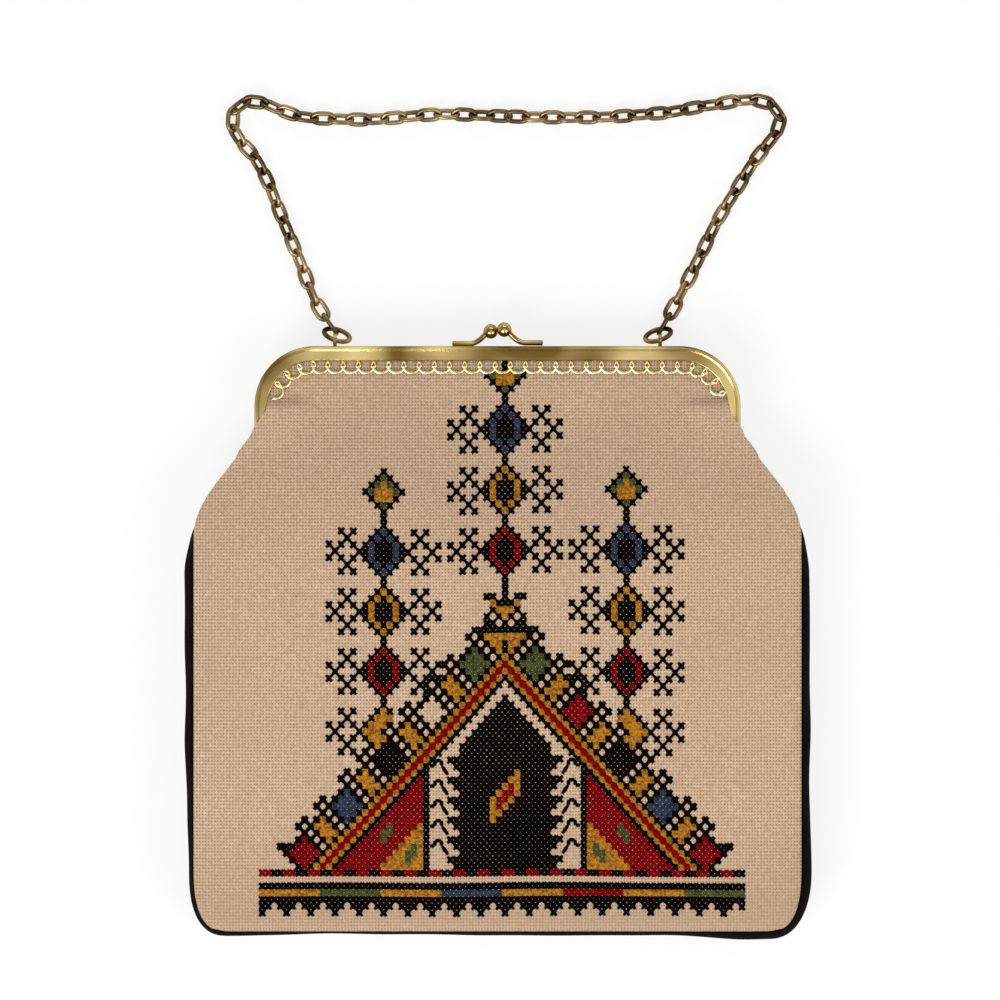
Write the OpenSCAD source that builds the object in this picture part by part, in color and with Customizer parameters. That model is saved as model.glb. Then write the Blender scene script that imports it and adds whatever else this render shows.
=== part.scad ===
// Needlepoint evening purse with a kiss-lock frame and a chain handle, lying on its back.
// Millimetres. X runs across the bag, Y from its bottom to its clasp, Z up through the front.
// The origin is in the middle of the flat back face that rests on the table.

/* [Bag] */
// Width of the front and back panels between the side seams
panel_w = 225; // [205:1:260]
// From the middle of the back face down to the bottom seam
panel_drop = 88; // [86:1:115]
// Radius of the two bottom corners
corner_r = 13; // [6:0.5:24]
// Thickness of the filled bag
bag_depth = 33; // [29:0.5:42]
// Thickness of the outer cloth
cloth_t = 1.2; // [0.8:0.1:1.5]
// Height at which the panels reach their full width
shoulder_y = 57; // [48:1:62]
// How far the panel rims turn down to the seams
seam_drop = 4; // [2:0.5:6]
// How far the gusset swells out past the seams
gusset_bulge = 3.4; // [1:0.2:5]
// Thickness of the lining
lining_t = 0.6; // [0.4:0.1:0.9]
// Space left between two layers of cloth
soft_gap = 0.3; // [0.2:0.05:0.5]

/* [Clasp frame] */
// Width over the frame
frame_w = 180.4; // [166:0.2:188]
// From the hinge up to the top of the frame
frame_h = 34.6; // [32:0.2:40]
// Height of the hinge above the middle of the back face
hinge_y = 93; // [92:0.5:100]
// Height of the plane where the two halves meet
frame_lift = 15.5; // [14:0.5:18]
// Depth of each half
frame_depth = 7; // [6:0.2:7.4]
// Thickness of the sheet
sheet_t = 0.8; // [0.6:0.05:1.1]
// Gap between the two closed halves
half_gap = 0.3; // [0.2:0.05:0.6]
// Outer corner radius
frame_r = 22.3; // [20:0.1:25]
// Width of the face along the top
face_w = 5.5; // [5:0.1:6]
// Width of the face down the arms
arm_face_w = 6.5; // [5.6:0.1:7]
// Inner corner radius of the face
face_r = 20.4; // [18:0.1:22]
// Radius of the hinge lugs
lug_r = 3.4; // [2.8:0.1:4]
// Diameter of the hinge rivets
rivet_d = 2.2; // [1.6:0.1:2.6]
// Running clearance round the rivets
rivet_fit = 0.05; // [0.03:0.01:0.09]

/* [Pierced edging] */
// Spacing of the scallops
lace_pitch = 5.64; // [5.2:0.02:6.2]
// How far the scallops hang below the face
lace_h = 4.8; // [4.2:0.1:5.2]
// Thickness of the strip
lace_t = 0.6; // [0.4:0.05:0.7]
// Width of the metal round each opening
lace_wire = 0.75; // [0.6:0.05:0.9]
// Diameter of the eyelets
eyelet_d = 0.8; // [0.6:0.05:1]

/* [Kiss lock] */
// Diameter of the balls
ball_d = 5.45; // [4.6:0.05:5.6]
// Diameter of the arms
arm_d = 1.9; // [1.6:0.05:2.1]
// Distance of each ball from the middle
ball_x = 2.5; // [2.4:0.05:3.2]
// Distance of each arm's plane from the closing plane
arm_offset = 1.4; // [1.35:0.05:1.8]
// Length of the soldered foot
foot_l = 7.8; // [5:0.2:11]

/* [Handle] */
// Distance of the ears from the middle
ear_x = 60.5; // [52:0.5:62]
// Thickness of the ears
ear_t = 1.3; // [1:0.05:1.5]
// Diameter of the hole in each ear
ear_hole_d = 2.8; // [2.6:0.05:3]
// Diameter of the jump ring wire
ring_wire = 1.5; // [1.3:0.05:1.6]
// Diameter of a jump ring through the middle of its wire
ring_mid_d = 9.8; // [9.4:0.1:10.2]
// Diameter of the link wire
link_wire = 1.3; // [1.1:0.02:1.34]
// Inner length of a link
link_in_l = 6.9; // [6.8:0.05:7.4]
// Inner width of a link
link_in_w = 2.8; // [2.7:0.05:3.2]
// Least play between two links
link_play = 0.35; // [0.3:0.05:0.5]

/* [Embroidery] */
// Width of one stitch
stitch_w = 2.245; // [2:0.005:2.3]
// Height of one stitch
stitch_h = 2.486; // [2.3:0.002:2.5]
// Thickness of the stitched layer
thread_t = 0.5; // [0.3:0.05:0.55]
// Thickness of colour laid over black stitches
top_thread_t = 0.25; // [0.15:0.05:0.3]

/* [Hidden] */
$fn = 48;

brass = [0.72, 0.56, 0.24];
old_brass = [0.5, 0.38, 0.26];
cream = [0.78, 0.66, 0.54];
velvet = [0.07, 0.05, 0.04];
satin = [0.55, 0.44, 0.36];
black_thread = [0.09, 0.06, 0.05];
red_thread = [0.5, 0.03, 0.05];
yellow_thread = [0.65, 0.42, 0.06];
green_thread = [0.26, 0.28, 0.13];
blue_thread = [0.15, 0.21, 0.34];

// Frame places
frame_top = hinge_y + frame_h;
front_z = frame_lift + half_gap / 2;
face_out = front_z + frame_depth;
lace_out = face_out - sheet_t;
face_half_w = frame_w / 2 - arm_face_w;
face_top = frame_top - face_w;
lug_gap = 0.3;
lug_in = frame_w / 2 - sheet_t - lug_gap;
back_foot_y = hinge_y + lug_r + 0.5;

// Neck of the cloth inside the frame
neck_gap = 0.9;
neck_front = lace_out - lace_t - neck_gap;
neck_back = 2 * frame_lift - neck_front;
neck_half_w = face_half_w - 1.3;
neck_top = frame_top - 3.6;
neck_r = face_r;
neck_flat = 8;
neck_blend = 20;

// Shoulder that stays clear of the opening frame
shoulder_foot = hinge_y - frame_depth - half_gap / 2 - 1.6;
shoulder_half_w = frame_w / 2 + 3.8;
notch_rise = 0.7;
shoulder_power = 1.5;

// Flat front, ramp up to the neck, and rims
ramp_start = 62;
ramp_end = 107;
rim_w = 10;
bottom_rim_w = 4.2;

function smooth(t) = let (u = min(1, max(0, t))) u * u * (3 - 2 * u);
function mix(a, b, t) = a + (b - a) * t;
function quarter(t) = let (u = min(1, max(0, t))) sqrt(1 - (1 - u) * (1 - u));
function along_ramp(y) = min(1, max(0, (y - ramp_start) / (ramp_end - ramp_start)));

// Half width of the panels at a height
function half_w(y) =
    y > neck_top - neck_r ?
        neck_half_w - neck_r + sqrt(max(0, neck_r * neck_r - pow(y - neck_top + neck_r, 2)))
    : y > shoulder_foot ? neck_half_w
    : y > shoulder_y ?
        shoulder_half_w + (panel_w / 2 - shoulder_half_w)
            * sqrt(1 - pow((y - shoulder_y) / (shoulder_foot - shoulder_y), shoulder_power))
    : y > corner_r - panel_drop ? panel_w / 2
    : panel_w / 2 - corner_r + sqrt(max(0, corner_r * corner_r - pow(y + panel_drop - corner_r, 2)));

// Share of frame (1) or seam (0) in the edge at a height
function frame_share(y) = smooth((y - shoulder_y) / (shoulder_foot - shoulder_y));

// Height of a panel's outer face; level, seam and neck are heights of its middle, rim and top edge
function panel_z(x, y, level, seam, neck) =
    let (base = mix(level, neck, along_ramp(y)))
    let (share = frame_share(y))
    let (edge = mix(seam, neck, share))
    let (inside = half_w(y) - abs(x))
    let (u = (inside - neck_flat * share) / mix(rim_w, neck_blend, share))
    let (rise = mix(quarter(u), smooth(u), share))
    let (low = quarter((y + panel_drop) / bottom_rim_w))
    mix(edge, base, min(rise, mix(low, 1, along_ramp(y))));

function front_face(x, y) = panel_z(x, y, bag_depth, bag_depth - seam_drop, neck_front);
function back_face(x, y) = panel_z(x, y, 0, seam_drop, neck_back);

// Heights at which the cloth is worked out, from the bottom up
bottom_steps = [for (a = [0 : 15 : 75]) corner_r - panel_drop - corner_r * cos(a)];
side_steps = [for (k = [0 : 5]) mix(corner_r - panel_drop, shoulder_y, k / 5)];
shoulder_steps = [for (k = [1 : 7]) mix(shoulder_foot, shoulder_y, pow(1 - k / 7, 1.5))];
arm_steps = [shoulder_foot + notch_rise, mix(shoulder_foot, neck_top - neck_r, 0.5), neck_top - neck_r];
top_steps = [for (a = [10 : 10 : 90]) neck_top - neck_r + neck_r * sin(a)];
fold_steps = [ramp_start, ramp_end, bottom_rim_w * 0.2 - panel_drop, bottom_rim_w - panel_drop];

function sorted(v) = len(v) <= 1 ? v :
    let (p = v[floor(len(v) / 2)])
    concat(sorted([for (y = v) if (y < p) y]), [p], sorted([for (y = v) if (y > p) y]));

rows = sorted(concat(bottom_steps, side_steps, shoulder_steps, arm_steps, top_steps, fold_steps));
columns = [0, 0.2, 0.4, 0.58, 0.7, 0.78, 0.85, 0.9, 0.94, 0.97, 0.99, 1];
spans = concat([for (k = [len(columns) - 1 : -1 : 1]) -columns[k]], columns);

// Closed sheet between two grids of points with the same layout, upper grid first
module sheet(upper, lower) {
    n = len(upper);
    m = len(upper[0]);
    points = concat([for (line = upper) for (p = line) p], [for (line = lower) for (p = line) p]);
    under = n * m;
    top = [for (j = [0 : n - 2]) for (i = [0 : m - 2])
        for (f = [[j * m + i, (j + 1) * m + i, (j + 1) * m + i + 1],
                [j * m + i, (j + 1) * m + i + 1, j * m + i + 1]]) f];
    bottom = [for (f = top) [f[0] + under, f[2] + under, f[1] + under]];
    border = concat([for (i = [0 : m - 2]) i], [for (j = [0 : n - 2]) j * m + m - 1],
        [for (i = [m - 1 : -1 : 1]) (n - 1) * m + i], [for (j = [n - 1 : -1 : 1]) j * m]);
    side = [for (k = [0 : len(border) - 1])
        let (a = border[k], b = border[(k + 1) % len(border)])
        for (f = [[a, b, b + under], [a, b + under, a + under]]) f];
    polyhedron(points, concat(top, bottom, side));
}

module front_panel() {
    color(cream) sheet(
        [for (y = rows) [for (u = spans) let (x = u * half_w(y)) [x, y, front_face(x, y)]]],
        [for (y = rows) [for (u = spans) let (x = u * half_w(y)) [x, y, front_face(x, y) - cloth_t]]]);
}

module back_panel() {
    color(velvet) sheet(
        [for (y = rows) [for (u = spans) let (x = u * half_w(y)) [x, y, back_face(x, y) + cloth_t]]],
        [for (y = rows) [for (u = spans) let (x = u * half_w(y)) [x, y, back_face(x, y)]]]);
}

// Line of the seam from the right arm down, along the bottom and up to the left arm
seam_rows = [for (k = [len(rows) - 1 : -1 : 0]) if (rows[k] < neck_top - neck_r) rows[k]];
bottom_half_w = half_w(rows[0]);
right_seam = [for (y = seam_rows) [half_w(y), y]];
bottom_seam = [for (k = [1 : 7]) [mix(bottom_half_w, -bottom_half_w, k / 8), rows[0]]];
left_seam = [for (k = [len(seam_rows) - 1 : -1 : 0]) [-half_w(seam_rows[k]), seam_rows[k]]];
seam = concat(right_seam, bottom_seam, left_seam);
gusset_spans = [0, 0.12, 0.3, 0.5, 0.7, 0.88, 1];

function outward(k) =
    let (a = seam[max(0, k - 1)], b = seam[min(len(seam) - 1, k + 1)])
    let (d = (b - a) / norm(b - a)) [-d.y, d.x];
function swell(k, v) = gusset_bulge * (1 - frame_share(seam[k].y)) * 4 * v * (1 - v);
function gusset_z(k, v) = let (p = seam[k]) mix(
    back_face(p.x, p.y) + cloth_t + soft_gap, front_face(p.x, p.y) - cloth_t - soft_gap, v);
function gusset_point(k, v, depth) =
    let (p = seam[k] + outward(k) * (swell(k, v) - depth)) [p.x, p.y, gusset_z(k, v)];

module gusset() {
    color(velvet) sheet(
        [for (k = [0 : len(seam) - 1]) [for (v = gusset_spans) gusset_point(k, v, 0)]],
        [for (k = [0 : len(seam) - 1]) [for (v = gusset_spans) gusset_point(k, v, cloth_t)]]);
}

// Lining: a bag in a bag, narrow at the neck
lining_gap = cloth_t + soft_gap;
lining_foot = cloth_t + 2 * soft_gap - panel_drop;
lining_top = neck_top - 4;
lining_neck_start = 40;
lining_neck_end = 80;
lining_steps = 18;
lining_round = 40;
lining_side_gap = cloth_t + 4 * soft_gap;

function lining_y(k) = mix(lining_foot, lining_top, k / lining_steps);
function lining_full(y) = (bag_depth / 2 - lining_gap) * quarter((y - lining_foot + 3) / 14);
function lining_half_d(y) = mix(lining_full(y), neck_front - lining_gap - frame_lift,
    smooth((y - lining_neck_start) / (lining_neck_end - lining_neck_start)));
function lining_mid_z(y) = mix(bag_depth / 2, frame_lift,
    smooth((y - lining_neck_start) / (lining_neck_end - lining_neck_start)));
function squared(v) = sign(v) * sqrt(abs(v));
function lining_width(y) = min(half_w(y), half_w(y + 3), half_w(y - 3)) - lining_side_gap;
function lining_ring(y, depth) = [for (i = [0 : lining_round - 1])
    let (a = 360 * i / lining_round)
    [(lining_width(max(y, lining_foot + 4)) - depth) * squared(cos(a)), y,
        lining_mid_z(y) + (lining_half_d(y) - depth) * squared(sin(a))]];

module lining() {
    n = lining_steps + 1;
    m = lining_round;
    outer = [for (k = [0 : n - 1]) lining_ring(lining_y(k), 0)];
    inner = [for (k = [0 : n - 1])
        let (y = lining_y(k))
        let (lifted = k == 0 ? y + lining_t : y)
        [for (p = lining_ring(y, lining_t)) [p.x, lifted, p.z]]];
    points = concat([for (r = outer) for (p = r) p], [for (r = inner) for (p = r) p],
        [[0, lining_y(0), lining_mid_z(lining_y(0))],
        [0, lining_y(0) + lining_t, lining_mid_z(lining_y(0))]]);
    skin = [for (k = [0 : n - 2]) for (i = [0 : m - 1])
        let (a = k * m + i, b = k * m + (i + 1) % m)
        for (f = [[a, b, b + m], [a, b + m, a + m]]) f];
    inner_skin = [for (f = skin) [f[0] + n * m, f[2] + n * m, f[1] + n * m]];
    foot = [for (i = [0 : m - 1]) [2 * n * m, (i + 1) % m, i]];
    inner_foot = [for (i = [0 : m - 1]) [2 * n * m + 1, n * m + i, n * m + (i + 1) % m]];
    mouth = [for (i = [0 : m - 1])
        let (a = (n - 1) * m + i, b = (n - 1) * m + (i + 1) % m)
        for (f = [[a, b, b + n * m], [a, b + n * m, a + n * m]]) f];
    color(satin) polyhedron(points, concat(skin, inner_skin, foot, inner_foot, mouth));
}

// Inverted U area with two round corners
module arch(half, top, r, foot) {
    for (s = [-1, 1]) translate([s * (half - r), top - r]) circle(r);
    translate([r - half, foot]) square([2 * (half - r), top - foot]);
    translate([-half, foot]) square([2 * half, top - r - foot]);
}

// Everything under a height
module below(foot) translate([-frame_w, foot - frame_w]) square([2 * frame_w, frame_w]);

module frame_wall(foot) {
    linear_extrude(frame_depth) difference() {
        arch(frame_w / 2, frame_top, frame_r, foot);
        arch(frame_w / 2 - sheet_t, frame_top - sheet_t, frame_r - sheet_t, foot - 1);
        below(foot);
    }
}

module frame_face() {
    linear_extrude(sheet_t) difference() {
        arch(frame_w / 2, frame_top, frame_r, back_foot_y);
        arch(face_half_w, face_top, face_r, back_foot_y - 1);
        below(back_foot_y);
    }
}

// Plate across the hinge line with its hole, thick along X
module lug_plate(thick, rise, low, high) {
    rotate([90, 0, 90]) linear_extrude(thick) difference() {
        union() {
            translate([hinge_y, frame_lift]) circle(lug_r);
            translate([hinge_y, low]) square([rise, high - low]);
        }
        translate([hinge_y, frame_lift]) circle(rivet_d / 2 + rivet_fit);
    }
}

module front_frame() {
    color(brass) {
        translate([0, 0, front_z]) frame_wall(back_foot_y);
        translate([0, 0, lace_out]) frame_face();
        for (s = [0, 1]) mirror([s, 0, 0]) translate([frame_w / 2 - sheet_t, 0, 0])
            lug_plate(sheet_t, back_foot_y - hinge_y + 1, front_z, face_out);
    }
}

module back_frame() {
    back_z = frame_lift - half_gap / 2;
    joggle = 6;
    color(brass) {
        translate([0, 0, back_z - frame_depth]) frame_wall(back_foot_y);
        translate([0, 0, back_z - frame_depth]) frame_face();
        for (s = [0, 1]) mirror([s, 0, 0]) {
            translate([lug_in - sheet_t, 0, 0])
                lug_plate(sheet_t, back_foot_y - hinge_y + joggle, back_z - lug_r, back_z);
            translate([lug_in - sheet_t, back_foot_y, back_z - lug_r])
                cube([sheet_t + lug_gap, joggle, lug_r]);
        }
    }
}

module hinge_rivet() {
    head_d = 2 * lug_r - 1.8;
    head_t = 0.8;
    shank_l = 2 * sheet_t + lug_gap + 0.1;
    shank_x = lug_in - sheet_t - 0.05;
    color(brass) translate([shank_x, hinge_y, frame_lift]) rotate([0, 90, 0]) {
        translate([0, 0, -head_t]) cylinder(d = head_d, h = head_t);
        cylinder(d = rivet_d, h = shank_l);
        translate([0, 0, shank_l]) cylinder(d = head_d, h = head_t);
    }
}

module right_hinge_rivet() hinge_rivet();
module left_hinge_rivet() mirror([1, 0, 0]) hinge_rivet();

// Pierced edging: openings hung along the inner edge of the face
lace_hole_r = lace_pitch / 2 - lace_wire * 0.95;
lace_mid = lace_h - lace_hole_r - lace_wire;
lace_lap = 1.6;
lace_straight = face_half_w - face_r;
lace_turn = 70;
lace_count = 2 * floor((lace_straight + face_r * lace_turn * PI / 180) / lace_pitch) + 1;

// Place a child at a distance along the edge, Y pointing inward
module along_edge(s) {
    side = sign(s);
    over = max(0, abs(s) - lace_straight);
    angle = over / face_r * 180 / PI;
    translate([side * lace_straight, face_top - face_r])
        rotate(-side * angle)
        translate([side * (min(abs(s), lace_straight) - lace_straight), face_r])
        mirror([0, 1, 0])
        children();
}

function lace_at(k) = (k - (lace_count - 1) / 2) * lace_pitch;

module lace_metal() {
    for (k = [0 : lace_count - 1]) along_edge(lace_at(k)) {
        translate([-lace_pitch / 2 - 0.2, -lace_lap]) square([lace_pitch + 0.4, lace_mid + lace_lap]);
        translate([0, lace_mid]) circle(lace_hole_r + lace_wire);
    }
}

module lace_holes() {
    for (k = [0 : lace_count - 1]) along_edge(lace_at(k)) {
        translate([0, lace_mid]) circle(lace_hole_r);
        translate([-lace_hole_r * 0.96, 0.1]) square([lace_hole_r * 1.92, lace_mid]);
    }
    for (k = [0 : lace_count - 2]) along_edge(lace_at(k + 0.5))
        translate([0, lace_mid * 0.25]) circle(d = eyelet_d);
}

module lace_strip() {
    linear_extrude(lace_t) difference() {
        lace_metal();
        lace_holes();
    }
}

module front_lace_edge() color(brass) translate([0, 0, lace_out - lace_t]) lace_strip();
module back_lace_edge() color(brass)
    translate([0, 0, 2 * frame_lift - lace_out]) lace_strip();

// Kiss lock: a foot along the top of the frame, an elbow and a ball
arm_reach = 6;
arm_slant = 40;
arm_rise = arm_d / 2 + 0.15;
elbow_d = arm_d * 1.06;
foot_w = arm_d * 0.84;
module clasp_arm() {
    translate([ball_x + arm_reach, frame_top + arm_rise, 0]) {
        rotate([0, 90, 0]) cylinder(d = arm_d, h = foot_l);
        translate([foot_l * 0.1, -arm_rise, -foot_w / 2]) cube([foot_l * 0.8, arm_rise, foot_w]);
        sphere(d = elbow_d);
        rotate([0, 0, 90 - arm_slant]) rotate([-90, 0, 0])
            cylinder(d = arm_d, h = arm_reach / cos(arm_slant));
        translate([-arm_reach, arm_reach * tan(arm_slant), 0]) sphere(d = ball_d);
    }
}

module front_clasp_arm() color(brass) translate([0, 0, frame_lift + arm_offset]) clasp_arm();
module back_clasp_arm() color(brass) translate([0, 0, frame_lift - arm_offset])
    mirror([1, 0, 0]) clasp_arm();

// Ears on the back half and the rings that hang from them
ear_y = frame_top + 2.4;
ear_z = frame_lift - frame_depth / 2 - 0.2;
ring_r = ring_mid_d / 2;
ring_hang = 65;
ring_lean = 18;

module ear() {
    lip = 1;
    color(brass) translate([ear_x - ear_t / 2, 0, 0]) rotate([90, 0, 90])
        linear_extrude(ear_t) difference() {
            union() {
                translate([ear_y, ear_z]) circle(ear_hole_d / 2 + lip);
                translate([frame_top, ear_z - 1.5]) square([ear_y - frame_top, 3]);
            }
            translate([ear_y, ear_z]) circle(d = ear_hole_d);
        }
}

module right_ear() ear();
module left_ear() mirror([1, 0, 0]) ear();

module jump_ring() {
    color(brass) translate([ear_x, ear_y, ear_z]) rotate([0, 0, ring_lean]) rotate([-ring_hang, 0, 0])
        translate([0, ring_r, 0]) rotate_extrude() translate([ring_r, 0]) circle(d = ring_wire);
}

module right_jump_ring() jump_ring();
module left_jump_ring() mirror([1, 0, 0]) jump_ring();

// Chain: a route over the table from ring to ring, given from each ear
link_mid_w = link_in_w + link_wire;
link_straight = link_in_l - link_in_w;
chain_z = (link_mid_w / 2) * sin(45) + link_wire / 2 + 0.1;
ring_grip = 24;
ring_far_x = ring_r * sin(ring_grip);
ring_far_y = ring_r * (1 + cos(ring_grip));

// Point on the far side of the right ring where the chain pulls
grip_x = ring_far_x * cos(ring_lean) - ring_far_y * cos(ring_hang) * sin(ring_lean);
grip_y = ring_far_x * sin(ring_lean) + ring_far_y * cos(ring_hang) * cos(ring_lean);
grip_z = ear_z - ring_far_y * sin(ring_hang);

left_route = [[-7.6, 14.8], [-11.8, 25.9], [-16.3, 37], [-20.9, 48.2], [-25.2, 59.3], [-30.5, 69],
    [-36, 75.6], [-38.3, 82], [-35, 87.6], [-29, 88.6], [-20.9, 85.5], [-12, 82.8], [-0.5, 82.2]];
middle_route = [[-46, 82], [-23, 83.9], [-8, 83.6], [12, 82.9], [38, 82.8]];
right_route = [[-5.5, 83.9], [5.5, 84.8], [12.5, 86.4], [21.5, 87.6], [28.5, 89], [35, 89.4], [40.8, 88],
    [44.6, 83.8], [43.9, 78.6], [39.8, 73], [35.2, 66.8], [30.4, 59.3], [26.7, 53], [23, 47.4],
    [19.5, 40.8], [15.2, 31.6], [11.3, 24], [7.5, 16.4]];

// The end links start behind the ring's wire, and the chain comes down to the table from there
hook_play = 0.52;
ring_pull = ring_wire / 2 + hook_play;
lead = right_route[len(right_route) - 1] - [grip_x, grip_y];
hook = [grip_x, grip_y] - lead / norm(lead) * ring_pull;
chain_rise = 1.1;
rise_l = 30;
function lie_z(y) = chain_z + chain_rise * max(0, 1 - y / rise_l);
route = concat(
    [[-ear_x - hook.x, ear_y + hook.y, grip_z]],
    [for (p = left_route) [p.x - ear_x, p.y + ear_y, lie_z(p.y)]],
    [for (p = middle_route) [p.x, p.y + ear_y, lie_z(p.y)]],
    [for (p = right_route) [p.x + ear_x, p.y + ear_y, lie_z(p.y)]],
    [[ear_x + hook.x, ear_y + hook.y, grip_z]]);

// Smooth curve through the route
function curve(p, q, r, s, t) = 0.5 * ((2 * q) + (r - p) * t
    + (2 * p - 5 * q + 4 * r - s) * t * t + (3 * q - p - 3 * r + s) * t * t * t);
route_fine = 8;
route_last = len(route) - 1;
fine = concat([for (k = [0 : route_last - 1]) for (j = [0 : route_fine - 1])
    curve(route[max(0, k - 1)], route[k], route[k + 1], route[min(route_last, k + 2)], j / route_fine)],
    [route[route_last]]);
step_l = [for (k = [1 : len(fine) - 1]) norm(fine[k] - fine[k - 1])];
reached = [for (k = 0, s = 0; k < len(fine); s = s + (k < len(step_l) ? step_l[k] : 0), k = k + 1) s];
chain_l = reached[len(fine) - 1];
x_along = [for (k = [0 : len(fine) - 1]) [reached[k], fine[k].x]];
y_along = [for (k = [0 : len(fine) - 1]) [reached[k], fine[k].y]];
z_along = [for (k = [0 : len(fine) - 1]) [reached[k], fine[k].z]];
function on_route(s) = [lookup(s, x_along), lookup(s, y_along), lookup(s, z_along)];
link_count = ceil(chain_l / (link_in_l - link_play));
link_step = chain_l / link_count;

module link() {
    for (s = [-1, 1]) {
        translate([0, s * link_mid_w / 2, 0]) rotate([0, 90, 0])
            cylinder(d = link_wire, h = link_straight, center = true);
        translate([s * link_straight / 2, 0, 0]) rotate([0, 0, -90 * s])
            rotate_extrude(angle = 180) translate([link_mid_w / 2, 0]) circle(d = link_wire);
    }
}

// Links lie on their corners, and those next to a ring stand up to hook round it
turned_links = 4;
turn_step = 45 / turned_links;
function link_roll(k) = k % 2 == 0 ? 45 : -45;
function turn_left(k) = max(0, turned_links - k) * turn_step;
function roll_of(k) = link_roll(k) + sign(link_roll(0)) * turn_left(k)
    + sign(link_roll(link_count - 1)) * turn_left(link_count - 1 - k);

module handle_chain() {
    color(old_brass) for (k = [0 : link_count - 1]) {
        a = on_route(k * link_step);
        b = on_route((k + 1) * link_step);
        d = (b - a) / norm(b - a);
        translate((a + b) / 2) rotate([0, -asin(d.z), atan2(d.y, d.x)])
            rotate([roll_of(k), 0, 0]) link();
    }
}

// Embroidery, in stitches from the middle column and the row of its red flower
pattern_x = 2.8;
pattern_y = 51.9;
column_step = 20;
flower_step = 9;
gable_row = 17;
base_row = 47.5;
field_gap = 0.12;
lift = 0.02;

function cell(c, r) = [c * stitch_w, -r * stitch_h];
function row_y(r) = pattern_y - r * stitch_h;
ramp_tilt = atan2(neck_front - bag_depth, ramp_end - ramp_start);

// Lay flat shapes on the cloth at a column and row, raised by a height
module on_cloth(c, r, up) {
    y = row_y(r);
    sloped = y > ramp_start && y < ramp_end;
    translate([pattern_x + c * stitch_w, y, mix(bag_depth, neck_front, along_ramp(y)) + lift])
        rotate([sloped ? ramp_tilt : 0, 0, 0]) translate([0, 0, up]) children();
}

module bar(a, b, w) {
    p = cell(a.x, a.y);
    q = cell(b.x, b.y);
    side = [p.y - q.y, q.x - p.x] / norm(q - p) * w / 2;
    polygon([p + side, q + side, q - side, p - side]);
}

module lozenge(c, r) polygon([cell(c, 0), cell(0, r), cell(-c, 0), cell(0, -r)]);

// Star of crossed strokes beside a flower, open side towards it
module star(side) {
    stroke = stitch_w * 0.8;
    bar([-3.3 * side, -1.3], [1.3 * side, 3.3], stroke);
    bar([-3.3 * side, 1.3], [1.3 * side, -3.3], stroke);
    bar([-1.3 * side, 3.3], [2.4 * side, -0.4], stroke);
    bar([-1.3 * side, -3.3], [2.4 * side, 0.4], stroke);
}

module flower_ground(stars) {
    lozenge(4, 4);
    for (s = stars) translate(cell(-6 * s, 0)) star(s);
    if (len(stars) > 0) bar([0, 3.5], [0, 4.9], stitch_w);
}

// A pointed strip under the gable line, from one distance below it to another
module chevron(from, to) {
    end_a = base_row - gable_row - from;
    end_b = base_row - gable_row - to;
    polygon([cell(-end_a, base_row), cell(0, gable_row + from), cell(end_a, base_row),
        cell(end_b, base_row), cell(0, gable_row + to), cell(-end_b, base_row)]);
}

module niche() polygon([cell(0, 22.5), cell(8, 30.5), cell(8, 47), cell(-8, 47), cell(-8, 30.5)]);

border_half = 40;
tooth_step = 4;
tooth_count = 2 * border_half / tooth_step;
module border_band() polygon(concat(
    [cell(border_half, 49.5), cell(-border_half, 49.5)],
    [for (k = [0 : tooth_count - 1]) for (p = [
        cell(k * tooth_step - border_half, 52.6),
        cell((k + 0.5) * tooth_step - border_half, 54.4)]) p],
    [cell(border_half, 52.6)]));

module black_field() {
    linear_extrude(thread_t) {
        chevron(-8, -1.6);
        chevron(1.6, 2.5);
        niche();
        for (s = [-1, 1]) bar([s * 13, 33], [s * 13, 47], stitch_w);
        border_band();
        bar([-border_half, 48], [border_half, 48], stitch_h * 0.9);
        polygon([cell(-2.5, 6.2), cell(0, 7.6), cell(2.5, 6.2), cell(2, 12), cell(-2, 12)]);
    }
}

module stitches_black() {
    color(black_thread) {
        on_cloth(0, 0, 0) black_field();
        for (k = [0 : 2]) {
            on_cloth(-column_step, flower_step * k, 0) linear_extrude(thread_t) flower_ground([-1, 1]);
            on_cloth(column_step, flower_step * k, 0) linear_extrude(thread_t) flower_ground([-1, 1]);
            on_cloth(0, -flower_step * k, 0) linear_extrude(thread_t) flower_ground([-1, 1]);
        }
        for (s = [-1, 1]) {
            on_cloth(s * column_step, -flower_step, 0) linear_extrude(thread_t) flower_ground([]);
            on_cloth(s * column_step, 3 * flower_step, 0) linear_extrude(thread_t) flower_ground([-s]);
        }
        on_cloth(0, top_bud_row, 0) linear_extrude(thread_t) tucked() flower_ground([]);
    }
}

// The topmost bud ends under the lace, at the top of the cloth
top_bud_row = -3 * flower_step - 0.3;
tuck_margin = 1;
module tucked() {
    wide = column_step * stitch_w;
    intersection() {
        children();
        translate([-wide / 2, -wide]) square([wide, wide + neck_top - tuck_margin - row_y(top_bud_row)]);
    }
}

// Colour laid over the black ground of a flower
module ring_of_petals() difference() {
    lozenge(3.2, 3.2);
    lozenge(1.5, 1.5);
}

module petal(c, r) on_cloth(c, r, thread_t) linear_extrude(top_thread_t) ring_of_petals();

module heart(c, r) on_cloth(c, r, thread_t) linear_extrude(top_thread_t)
    lozenge(1.5 - field_gap, 1.5 - field_gap);

module side_petals(r) for (s = [-1, 1]) petal(s * column_step, r);

// Coloured blocks up both slopes of the gable
block_step = 3.5;
module slope_block(k) for (s = [-1, 1])
    on_cloth(s * (5 + block_step * k), gable_row + block_step * k, thread_t)
        linear_extrude(top_thread_t) lozenge(2.4, 2.4);

// Segment of the coloured stripe in the border
segment_l = 10;
module stripe(k) on_cloth(k * segment_l - border_half, 51, thread_t) linear_extrude(top_thread_t)
    bar([field_gap, 0], [segment_l - field_gap, 0], stitch_h);

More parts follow.
